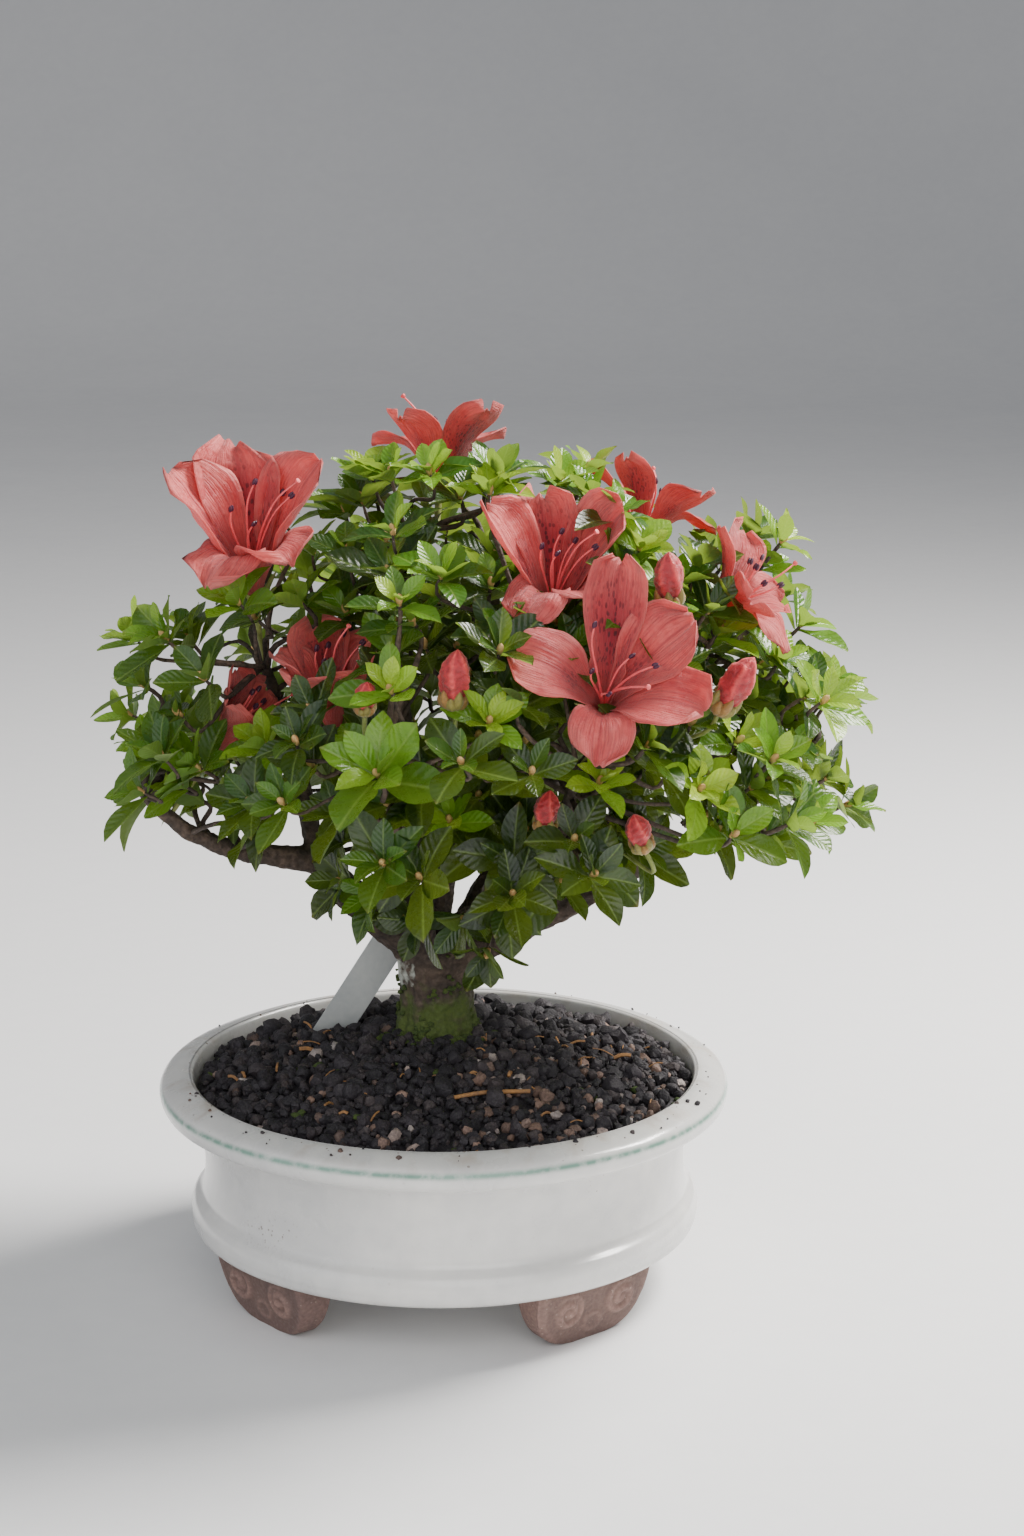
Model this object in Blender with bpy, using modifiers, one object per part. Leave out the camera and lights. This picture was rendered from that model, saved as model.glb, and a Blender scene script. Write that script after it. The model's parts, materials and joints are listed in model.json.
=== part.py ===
"""A flowering azalea bonsai in a round white-glazed pot on four bare clay feet.

The pot is turned, the soil is turned with sockets cut for the root and the label, the wood is one
body joined from tapered tubes, and flowers, buds and leaf sprays grow from the wood. A twig or a
leaf is kept only where it touches nothing that is already there. The sizes below are millimetres.
The front of the plant faces -Y, and the middle of the pot is on the Z axis until the last step,
which moves the middle of the whole plant there.
"""

import math
import random

import bmesh
import bpy
from mathutils import Matrix, Vector
from mathutils.bvhtree import BVHTree

MM = 0.001
GAP = 0.3
SLIVER = 0.003
SEED = 29

# Pot: radii from its axis, heights from the floor.
RIM_RADIUS = 90.0
RIM_WIDTH = 11.0
LIP_HEIGHT = 6.0
POT_HEIGHT = 69.5
FOOT_HEIGHT = 19.2
WALL_THICKNESS = 6.0
FLANGE_HEIGHT = 10.0
HOLE_RADIUS = 8.5
POT_STEPS = 36

# Feet
FOOT_COUNT_NAMES = ("front_right", "back_right", "back_left", "front_left")
FOOT_FIRST_ANGLE = -57.0
FOOT_WIDTH = 45.0
FOOT_BASE_WIDTH = 17.0
FOOT_DEPTH = 15.0
FOOT_INSET = 2.5
SCROLL_RADIUS = 4.6
SCROLL_PROUD = 1.1

# Drainage
SCREEN_RADIUS = 13.0
SCREEN_THICKNESS = 0.8
SCREEN_HOLE_RADIUS = 1.1
WIRE_RADIUS = 0.6
WIRE_LEG_SPREAD = 5.6

# Soil
SOIL_BELOW_RIM = 4.5
MOUND_RISE = 13.5

# Label
LABEL_WIDTH = 11.0
LABEL_THICKNESS = 0.8
LABEL_LENGTH = 62.0
LABEL_TILT = 32.2
LABEL_FOOT = (-46.5, 24.0)

# Tree
TREE_HEIGHT = 197.0
CROWN_RADIUS = 120.0
TRUNK_RADIUS = 12.0
ROOT_DEPTH = 21.0
TRUNK_SIDES = 9

# Flowers, buds and leaves
FLOWER_LENGTH = 29.0
FLOWER_RADIUS = 27.0
PETAL_THICKNESS = 0.7
THROAT_RADIUS = 2.4
STALK_RADIUS = 0.9
BUD_LENGTH = 16.0
LEAF_LENGTH = 24.0
LEAF_WIDTH = 10.5
LEAF_THICKNESS = 1.0
LEAF_STALK = 0.9
KNOB_RADIUS = 2.8
LEAVES_PER_ROSETTE = 5
TWIG_RADIUS = 1.2
SIDE_TWIGS = 2

# Derived heights
POT_FLOOR_UNDER = FOOT_HEIGHT + GAP
POT_FLOOR_TOP = POT_FLOOR_UNDER + WALL_THICKNESS
SOIL_EDGE_TOP = POT_HEIGHT - SOIL_BELOW_RIM
SOIL_TOP = SOIL_EDGE_TOP + MOUND_RISE
SCREEN_BASE = POT_FLOOR_TOP + GAP
WIRE_TOP = SCREEN_BASE + SCREEN_THICKNESS + GAP + WIRE_RADIUS

# Wood: each branch is a list of points with its radius as a share of the trunk's radius.
# A point is x and y in percent of the crown's radius and z in percent of the tree's height.
BRANCHES = (
    ((-3, 5, 13, 0.70), (-18, 4, 20, 0.66), (-26, 3, 24, 0.56), (-33, 0, 29, 0.46),
     (-50, -4, 31, 0.32), (-65, -13, 36, 0.24), (-76, -16, 43, 0.16)),
    ((-33, 0, 28, 0.32), (-35, 4, 36, 0.30), (-38, 6, 43, 0.26), (-40, 0, 51, 0.22),
     (-45, -8, 62, 0.15)),
    ((-3, 5, 13, 0.70), (15, 4, 17, 0.66), (25, 3, 20, 0.58), (36, 0, 23, 0.48),
     (52, -4, 29, 0.34), (71, -8, 36, 0.25), (86, -7, 45, 0.16)),
    ((25, 3, 20, 0.34), (28, 9, 28, 0.32), (37, 8, 36, 0.27), (50, 3, 46, 0.22),
     (61, -4, 58, 0.15)),
    ((-12, 4, 17, 0.36), (-13, 7, 24, 0.36), (-8, 7, 30, 0.33), (-7, 7, 36, 0.30),
     (-10, 2, 52, 0.24), (-12, 0, 67, 0.19), (-7, 7, 79, 0.13)),
    ((-3, 7, 13, 0.46), (1, 10, 26, 0.42), (5, 12, 40, 0.35), (12, 9, 45, 0.31),
     (19, 4, 50, 0.27), (22, -4, 59, 0.22), (24, -20, 65, 0.15)),
    ((-3, 10, 14, 0.42), (-17, 32, 27, 0.36), (-32, 48, 37, 0.28), (-38, 53, 47, 0.22),
     (-27, 44, 61, 0.15)),
    ((2, 10, 14, 0.42), (17, 33, 28, 0.36), (35, 48, 39, 0.28), (48, 47, 50, 0.22),
     (38, 38, 64, 0.15)),
    ((-2, 2, 13, 0.38), (-6, -14, 25, 0.30), (-10, -34, 38, 0.22), (-12, -48, 50, 0.14)),
    ((24, 2, 20, 0.34), (27, -16, 30, 0.28), (31, -33, 41, 0.22), (34, -42, 51, 0.14)),
    ((12, 9, 45, 0.22), (14, 24, 58, 0.19), (13, 26, 74, 0.13)),
)

# Flowers: base point, direction it opens, turn about that direction, size, how far open.
FLOWERS = (
    ("flower_1", (-49, -17, 73), (-0.02, -0.30, 0.95), 20, 1.20, 0.62),
    ("flower_2", (-3, 16, 87), (0.05, 0.30, 0.95), 50, 0.86, 0.66),
    ("flower_3", (25, -32, 71), (0.06, -0.30, 0.95), 0, 1.05, 0.62),
    ("flower_4", (37, -50, 60), (0.00, -0.80, 0.60), 0, 1.10, 1.00),
    ("flower_5", (66, -20, 71), (0.72, -0.25, 0.64), 30, 0.82, 0.75),
    ("flower_6", (49, 14, 79), (0.30, 0.35, 0.89), 10, 0.82, 0.72),
    ("flower_7", (-26, -30, 54), (-0.15, -0.25, 0.96), 15, 0.95, 0.42),
    ("flower_8", (-57, -14, 49), (0.62, -0.25, 0.74), 0, 0.80, 0.26),
)

# Buds: base point, direction, size.
BUDS = (
    ("bud_1", (4, -62, 63), (0.03, -0.20, 0.98), 1.00),
    ("bud_2", (56, -46, 76), (-0.10, -0.20, 0.97), 0.95),
    ("bud_3", (68, -52, 61), (0.50, -0.20, 0.85), 1.10),
    ("bud_4", (26, -46, 42), (0.05, -0.20, 0.98), 0.72),
    ("bud_5", (50, -46, 39), (-0.30, -0.30, 0.90), 0.72),
    ("bud_6", (-17, -62, 62), (0.00, -0.30, 0.95), 0.55),
)

# Leaf sprays: the point that the middle rosette grows to.
SPRAYS = (
    (-66, -20, 46), (-76, 4, 48), (-42, -38, 52), (-16, -64, 52), (-5, -62, 66), (-32, -24, 74),
    (-15, -6, 91), (14, -14, 92), (0, -46, 80), (48, -28, 83), (69, -22, 70), (68, -46, 52),
    (94, -8, 58), (90, -14, 47), (38, -54, 48), (5, -42, 40), (40, -34, 35), (-18, -18, 27),
    (-52, 38, 50), (-26, 52, 70), (18, 60, 64), (52, 52, 55), (76, 30, 62), (2, 36, 88),
    (44, 28, 82), (-54, 22, 70),
)


def mm(*values):
    """A point given in millimetres."""
    return Vector(values) * MM


def tree_point(x, y, z):
    """A point given in percent of the crown's radius and of the tree's height above the soil."""
    return mm(x * CROWN_RADIUS / 100, y * CROWN_RADIUS / 100, SOIL_TOP + z * TREE_HEIGHT / 100)


def clear_scene():
    for obj in list(bpy.data.objects):
        bpy.data.objects.remove(obj, do_unlink=True)


def collection(name, hidden=False):
    found = bpy.data.collections.new(name)
    bpy.context.scene.collection.children.link(found)
    found.hide_render = hidden
    return found


def material(name, colour, roughness, metallic=0.0):
    made = bpy.data.materials.new(name)
    made.use_nodes = True
    shader = made.node_tree.nodes["Principled BSDF"]
    shader.inputs["Base Color"].default_value = (*colour, 1.0)
    shader.inputs["Roughness"].default_value = roughness
    shader.inputs["Metallic"].default_value = metallic
    made.diffuse_color = (*colour, 1.0)
    return made


def new_object(name, points, faces, home, finish=None):
    mesh = bpy.data.meshes.new(name)
    mesh.from_pydata([tuple(point) for point in points], [], faces)
    mesh.update()
    obj = bpy.data.objects.new(name, mesh)
    home.objects.link(obj)
    if finish:
        mesh.materials.append(finish)
    return obj


def turned(name, profile, home, finish, steps=POT_STEPS):
    """A solid turned about Z. The profile, in mm, runs down its outer side from top to bottom."""
    points = [(radius * MM, 0.0, height * MM) for radius, height in profile]
    mesh = bpy.data.meshes.new(name)
    edges = [(i, i + 1) for i in range(len(points) - 1)]
    if profile[0][0] > 0:
        edges.append((len(points) - 1, 0))
    mesh.from_pydata(points, edges, [])
    obj = bpy.data.objects.new(name, mesh)
    home.objects.link(obj)
    mesh.materials.append(finish)
    screw = obj.modifiers.new("turn", "SCREW")
    screw.axis = "Z"
    screw.angle = math.tau
    screw.steps = steps
    screw.render_steps = steps
    screw.use_merge_vertices = True
    screw.merge_threshold = 0.00002
    screw.use_smooth_shade = True
    return obj


def bake(obj):
    """Turn the object's modifiers into its mesh."""
    bpy.context.view_layer.update()
    graph = bpy.context.evaluated_depsgraph_get()
    mesh = bpy.data.meshes.new_from_object(obj.evaluated_get(graph), depsgraph=graph)
    obj.modifiers.clear()
    obj.data = mesh
    return obj


def combine(obj, other, operation):
    """Join or cut obj with other, and remove other."""
    modifier = obj.modifiers.new(operation.lower(), "BOOLEAN")
    modifier.operation = operation
    modifier.solver = "EXACT"
    modifier.object = other
    bake(obj)
    bpy.data.objects.remove(other, do_unlink=True)
    return obj


def is_one_body(mesh):
    """Whether a mesh is one closed surface, also once its nearest points are merged."""
    shape = bmesh.new()
    shape.from_mesh(mesh)
    bmesh.ops.remove_doubles(shape, verts=shape.verts, dist=SLIVER * MM)
    sound = all(edge.is_manifold for edge in shape.edges)
    sound = sound and all(vertex.is_manifold for vertex in shape.verts)
    shape.verts.ensure_lookup_table()
    reached = {shape.verts[0]}
    waiting = [shape.verts[0]]
    while waiting:
        vertex = waiting.pop()
        for edge in vertex.link_edges:
            other = edge.other_vert(vertex)
            if other not in reached:
                reached.add(other)
                waiting.append(other)
    sound = sound and len(reached) == len(shape.verts)
    shape.free()
    return sound


def join_if_one(obj, other):
    """Join other to obj, unless that would leave a loose piece, a hollow or a pinched edge."""
    before = obj.data.copy()
    combine(obj, other, "UNION")
    if not is_one_body(obj.data):
        obj.data = before


def smooth(obj, degrees=40):
    obj.data.polygons.foreach_set("use_smooth", [True] * len(obj.data.polygons))
    obj.data.set_sharp_from_angle(angle=math.radians(degrees))
    obj.data.update()


def recentre(obj, point):
    """Move the object's origin to a point without moving its shape."""
    obj.data.transform(Matrix.Translation(-point))
    obj.location = point


def curve_through(rows, cuts):
    """Points on a smooth curve through rows of (Vector, radius)."""
    result = []
    for i in range(len(rows) - 1):
        before = rows[max(i - 1, 0)]
        after = rows[min(i + 2, len(rows) - 1)]
        for step in range(cuts):
            t = step / cuts
            point = Vector()
            weights = (
                -0.5 * t + t * t - 0.5 * t**3,
                1 - 2.5 * t * t + 1.5 * t**3,
                0.5 * t + 2 * t * t - 1.5 * t**3,
                -0.5 * t * t + 0.5 * t**3,
            )
            for weight, row in zip(weights, (before, rows[i], rows[i + 1], after)):
                point += weight * row[0]
            result.append((point, rows[i][1] * (1 - t) + rows[i + 1][1] * t))
    result.append(rows[-1])
    return result


def tube_shape(rows, sides, twist=0.0):
    """Points and faces of a closed tube along rows of (Vector, radius in mm)."""
    points = []
    faces = []
    side = None
    for i, (centre, radius) in enumerate(rows):
        ahead = rows[min(i + 1, len(rows) - 1)][0] - rows[max(i - 1, 0)][0]
        ahead.normalize()
        if side is None:
            side = ahead.orthogonal().normalized()
        side = (side - ahead * side.dot(ahead)).normalized()
        other = ahead.cross(side)
        for k in range(sides):
            angle = math.tau * k / sides + twist
            spread = side * math.cos(angle) + other * math.sin(angle)
            points.append(centre + spread * radius * MM)
    for i in range(len(rows) - 1):
        for k in range(sides):
            a = i * sides + k
            b = i * sides + (k + 1) % sides
            faces.append((a, b, b + sides, a + sides))
    last = (len(rows) - 1) * sides
    faces.append(tuple(reversed(range(sides))))
    faces.append(tuple(range(last, last + sides)))
    return points, faces


def leaf_shape(base, ahead, face, length, width, thickness):
    """Points and faces of a thin pointed leaf that lies along ahead and looks towards face."""
    across = ahead.cross(face).normalized()
    up = across.cross(ahead).normalized()
    middle = base + ahead * length * 0.52 * MM
    points = []
    for centre, wide, thick in ((base, LEAF_STALK, LEAF_STALK * 0.8), (middle, width, thickness)):
        points.append(centre - across * wide * 0.5 * MM)
        points.append(centre - up * thick * MM)
        points.append(centre + across * wide * 0.5 * MM)
    points.append(base + (ahead * length - up * length * 0.10) * MM)
    faces = [(0, 1, 2)]
    for i in range(3):
        j = (i + 1) % 3
        faces.append((i, i + 3, j + 3, j))
        faces.append((i + 3, 6, j + 3))
    return points, faces


def knob_shape(centre, radius):
    """A small eight-sided solid, for the middle of a rosette."""
    steps = [Vector(step) for step in ((1, 0, 0), (0, 1, 0), (-1, 0, 0), (0, -1, 0))]
    points = [centre + step * radius * MM for step in steps]
    points.append(centre + Vector((0, 0, radius * MM)))
    points.append(centre - Vector((0, 0, radius * MM)))
    faces = []
    for i in range(4):
        j = (i + 1) % 4
        faces.append((i, j, 4))
        faces.append((j, i, 5))
    return points, faces


def merged(shapes):
    """Several shapes as one list of points and faces."""
    points = []
    faces = []
    for some_points, some_faces in shapes:
        start = len(points)
        points.extend(some_points)
        faces.extend(tuple(index + start for index in face) for face in some_faces)
    return points, faces


def tree_of(shape):
    """A search tree over a shape's triangles."""
    points, faces = shape
    triangles = []
    for face in faces:
        for k in range(1, len(face) - 1):
            triangles.append((face[0], face[k], face[k + 1]))
    return BVHTree.FromPolygons([tuple(point) for point in points], triangles, epsilon=0.0)


class Room:
    """What is already in place, so that a new piece can be kept clear of it."""

    def __init__(self):
        self.taken = []

    def add_object(self, obj):
        bpy.context.view_layer.update()
        graph = bpy.context.evaluated_depsgraph_get()
        mesh = obj.evaluated_get(graph).to_mesh()
        points = [obj.matrix_world @ vertex.co for vertex in mesh.vertices]
        faces = [tuple(polygon.vertices) for polygon in mesh.polygons]
        self.taken.append(tree_of((points, faces)))
        return self.taken[-1]

    def add(self, shape):
        self.taken.append(tree_of(shape))

    def free(self, shape):
        tree = tree_of(shape)
        return not any(tree.overlap(other) for other in self.taken)


def wall_profile():
    """Radii and heights of the pot's outer side below the lip, from its top to its bottom edge."""
    neck = RIM_RADIUS - 12.0
    base = FOOT_HEIGHT + GAP
    rise = POT_HEIGHT - base
    return (
        (neck, base + rise * 0.76),
        (neck - 1.3, base + rise * 0.62),
        (neck - 2.0, base + rise * 0.42),
        (neck - 1.4, base + FLANGE_HEIGHT + 2.5),
        (neck + 1.2, base + FLANGE_HEIGHT),
        (neck + 2.4, base + FLANGE_HEIGHT * 0.66),
        (neck + 2.4, base + FLANGE_HEIGHT * 0.36),
        (neck + 1.2, base + 0.8),
        (neck - 0.4, base),
    )


def build_pot(home):
    glaze = material("pot_glaze", (0.72, 0.71, 0.68), 0.22)
    inner = RIM_RADIUS - RIM_WIDTH
    profile = [
        (inner + 1.6, POT_HEIGHT),
        (inner + 5.0, POT_HEIGHT - 0.4),
        (RIM_RADIUS - 2.4, POT_HEIGHT - 1.7),
        (RIM_RADIUS - 0.5, POT_HEIGHT - 3.4),
        (RIM_RADIUS, POT_HEIGHT - 5.2),
        (RIM_RADIUS - 1.0, POT_HEIGHT - 3.6 - LIP_HEIGHT),
        (RIM_RADIUS - 4.0, POT_HEIGHT - 5.0 - LIP_HEIGHT),
    ]
    profile.extend(wall_profile())
    profile.extend((
        (HOLE_RADIUS + 0.8, POT_FLOOR_UNDER),
        (HOLE_RADIUS, POT_FLOOR_UNDER + 0.8),
        (HOLE_RADIUS, POT_FLOOR_TOP),
    ))
    profile.extend(inside_profile(0.0))
    turned("pot_body", profile, home, glaze)
    return home.objects["pot_body"]


def inside_profile(clearance):
    """The pot's inner side from the floor up, moved inwards by a clearance."""
    wall = RIM_RADIUS - 12.0 - WALL_THICKNESS
    inner = RIM_RADIUS - RIM_WIDTH
    return (
        (wall - 5.0 - clearance, POT_FLOOR_TOP + clearance),
        (wall - clearance, POT_FLOOR_TOP + 5.0 + clearance),
        (wall + 0.5 - clearance, POT_HEIGHT - 16.0),
        (inner - 1.0 - clearance, POT_HEIGHT - 9.0),
        (inner - clearance, POT_HEIGHT - 1.6),
    )


def build_feet(home):
    clay = material("foot_clay", (0.30, 0.19, 0.16), 0.80)
    neck = RIM_RADIUS - 12.0
    outer_top = neck - FOOT_INSET
    half = FOOT_WIDTH / 2
    low = FOOT_BASE_WIDTH / 2
    outline = (
        (half, 1.0), (half * 0.985, 0.80), (half * 0.90, 0.52), (half * 0.72, 0.26),
        (half * 0.54, 0.09), (low, 0.0),
    )
    ring = [(x, share * FOOT_HEIGHT) for x, share in outline]
    ring.extend((-x, share * FOOT_HEIGHT) for x, share in reversed(outline))
    for index, corner in enumerate(FOOT_COUNT_NAMES):
        points = []
        for back in (False, True):
            for x, z in ring:
                lean = (1 - z / FOOT_HEIGHT) * 4.5
                y = FOOT_DEPTH - lean * 0.4 if back else lean
                points.append(mm(x, y, z))
        count = len(ring)
        faces = [tuple(reversed(range(count))), tuple(range(count, 2 * count))]
        for k in range(count):
            j = (k + 1) % count
            faces.append((k, j, j + count, k + count))
        foot = new_object("foot_" + corner, points, faces, home, clay)
        fix_facing(foot)
        bevel = foot.modifiers.new("worn_edge", "BEVEL")
        bevel.width = 0.9 * MM
        bevel.segments = 1
        bevel.limit_method = "ANGLE"
        bevel.angle_limit = math.radians(50)
        bake(foot)
        for side in (-1, 1):
            lift = FOOT_HEIGHT * 0.62
            lean = (1 - lift / FOOT_HEIGHT) * 4.5
            rows = [
                (mm(side * half * 0.50, lean + 3.0, lift), SCROLL_RADIUS),
                (mm(side * half * 0.50, lean - SCROLL_PROUD * 0.5, lift), SCROLL_RADIUS),
                (mm(side * half * 0.50, lean - SCROLL_PROUD, lift), SCROLL_RADIUS * 0.7),
            ]
            boss = new_object("scroll", *tube_shape(rows, 10), home)
            fix_facing(boss)
            combine(foot, boss, "UNION")
        smooth(foot, 35)
        angle = math.radians(FOOT_FIRST_ANGLE + 90.0 * index)
        foot.location = mm(outer_top * math.cos(angle), outer_top * math.sin(angle), 0.0)
        foot.rotation_euler = (0.0, 0.0, angle + math.pi / 2)


def fix_facing(obj):
    """Make every face of a closed body look out."""
    shape = bmesh.new()
    shape.from_mesh(obj.data)
    bmesh.ops.recalc_face_normals(shape, faces=shape.faces)
    shape.to_mesh(obj.data)
    shape.free()
    obj.data.update()


def build_drainage(home):
    mesh_black = material("screen_plastic", (0.03, 0.03, 0.03), 0.6)
    wire_metal = material("clip_aluminium", (0.45, 0.42, 0.38), 0.4, 1.0)
    disc = [(mm(0, 0, SCREEN_BASE), SCREEN_RADIUS)]
    disc.append((mm(0, 0, SCREEN_BASE + SCREEN_THICKNESS), SCREEN_RADIUS))
    screen = new_object("drainage_screen", *tube_shape(disc, 24), home, mesh_black)
    fix_facing(screen)
    holes = []
    spots = [(WIRE_LEG_SPREAD, 0.0), (-WIRE_LEG_SPREAD, 0.0), (0.0, 0.0)]
    spots.extend((0.0, side * WIRE_LEG_SPREAD) for side in (-1, 1))
    for x, y in spots:
        rows = [(mm(x, y, SCREEN_BASE - 2), SCREEN_HOLE_RADIUS)]
        rows.append((mm(x, y, SCREEN_BASE + 3), SCREEN_HOLE_RADIUS))
        holes.append(tube_shape(rows, 6))
    cutter = new_object("screen_holes", *merged(holes), home)
    fix_facing(cutter)
    combine(screen, cutter, "DIFFERENCE")
    under = POT_FLOOR_UNDER - GAP - WIRE_RADIUS
    leg = WIRE_LEG_SPREAD
    path = [
        (leg + 8.0, under - 1.2), (leg + 2.2, under), (leg + 0.5, under + 0.5),
        (leg, under + 2.0), (leg, WIRE_TOP - 1.2), (leg - 0.4, WIRE_TOP - 0.35),
        (leg - 1.2, WIRE_TOP),
    ]
    path = path + [(-x, z) for x, z in reversed(path)]
    rows = [(mm(x, 0, z), WIRE_RADIUS) for x, z in path]
    wire = new_object("screen_clip_wire", *tube_shape(rows, 6), home, wire_metal)
    fix_facing(wire)
    smooth(wire, 50)


def trunk_rows(clearance=0.0):
    """The trunk from its root in the soil to the fork, in mm radii."""
    root = SOIL_TOP - ROOT_DEPTH
    x = -0.02 * CROWN_RADIUS
    y = 0.07 * CROWN_RADIUS
    rise = TREE_HEIGHT * 0.01
    rows = (
        (x, y, root - clearance, 0.62), (x, y, root + ROOT_DEPTH * 0.5, 0.98),
        (x, y, SOIL_TOP - 2.0, 1.16), (x, y, SOIL_TOP + rise * 2.5, 1.04),
        (x - 0.5, y, SOIL_TOP + rise * 7.5, 0.97), (x - 1.5, y - 1.0, SOIL_TOP + rise * 12.0, 1.0),
        (x - 1.8, y - 2.0, SOIL_TOP + rise * 15.0, 0.84),
        (x - 1.8, y - 2.0, SOIL_TOP + rise * 17.0, 0.50),
    )
    return [(mm(a, b, c), share * TRUNK_RADIUS + clearance) for a, b, c, share in rows]


def label_box(clearance=0.0):
    """The label's eight corners and faces, grown by a clearance."""
    half = LABEL_WIDTH / 2 + clearance
    deep = LABEL_THICKNESS / 2 + clearance
    points = []
    for z in (-clearance, LABEL_LENGTH + clearance):
        for x, y in ((-half, -deep), (half, -deep), (half, deep), (-half, deep)):
            points.append(mm(x, y, z))
    faces = [(3, 2, 1, 0), (4, 5, 6, 7), (0, 1, 5, 4), (1, 2, 6, 5), (2, 3, 7, 6), (3, 0, 4, 7)]
    place = Matrix.Translation(mm(*LABEL_FOOT, SOIL_TOP - ROOT_DEPTH))
    place = place @ Matrix.Rotation(math.radians(LABEL_TILT), 4, "Y")
    return [place @ point for point in points], faces


def build_soil(home):
    dark = material("soil_gravel", (0.045, 0.037, 0.036), 0.9)
    edge = inside_profile(GAP)
    centre_under = WIRE_TOP + WIRE_RADIUS + GAP
    inner = RIM_RADIUS - RIM_WIDTH
    top = [
        (0.0, SOIL_TOP), (14.0, SOIL_TOP - 0.5), (28.0, SOIL_TOP - MOUND_RISE * 0.22),
        (46.0, SOIL_TOP - MOUND_RISE * 0.50), (62.0, SOIL_TOP - MOUND_RISE * 0.76),
        (inner - 5.0, SOIL_TOP - MOUND_RISE * 0.96), (inner - 0.9, SOIL_EDGE_TOP),
    ]
    low = [
        (SCREEN_RADIUS + GAP, POT_FLOOR_TOP + GAP), (SCREEN_RADIUS + GAP, centre_under),
        (0.0, centre_under),
    ]
    soil = turned("soil", top + list(reversed(edge))[1:] + low, home, dark)
    bake(soil)
    socket = new_object("root_socket", *tube_shape(trunk_rows(GAP), TRUNK_SIDES), home)
    fix_facing(socket)
    combine(soil, socket, "DIFFERENCE")
    slot = new_object("label_slot", *label_box(GAP), home)
    fix_facing(slot)
    combine(soil, slot, "DIFFERENCE")
    smooth(soil, 50)


def build_label(home):
    plastic = material("label_plastic", (0.72, 0.76, 0.78), 0.35)
    label = new_object("plant_label", *label_box(), home, plastic)
    fix_facing(label)
    return label


def build_wood(home):
    bark = material("bark", (0.09, 0.055, 0.038), 0.85)
    wood = new_object(
        "trunk_and_branches", *tube_shape(trunk_rows(), TRUNK_SIDES), home, bark
    )
    fix_facing(wood)
    for number, branch in enumerate(BRANCHES):
        rows = [(tree_point(x, y, z), share * TRUNK_RADIUS) for x, y, z, share in branch]
        sides = 8 if rows[0][1] > 6 else 6
        shape = tube_shape(curve_through(rows, 2), sides, twist=0.3 + number)
        limb = new_object("limb", *shape, home)
        fix_facing(limb)
        combine(wood, limb, "UNION")
    smooth(wood, 60)
    return wood


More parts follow.
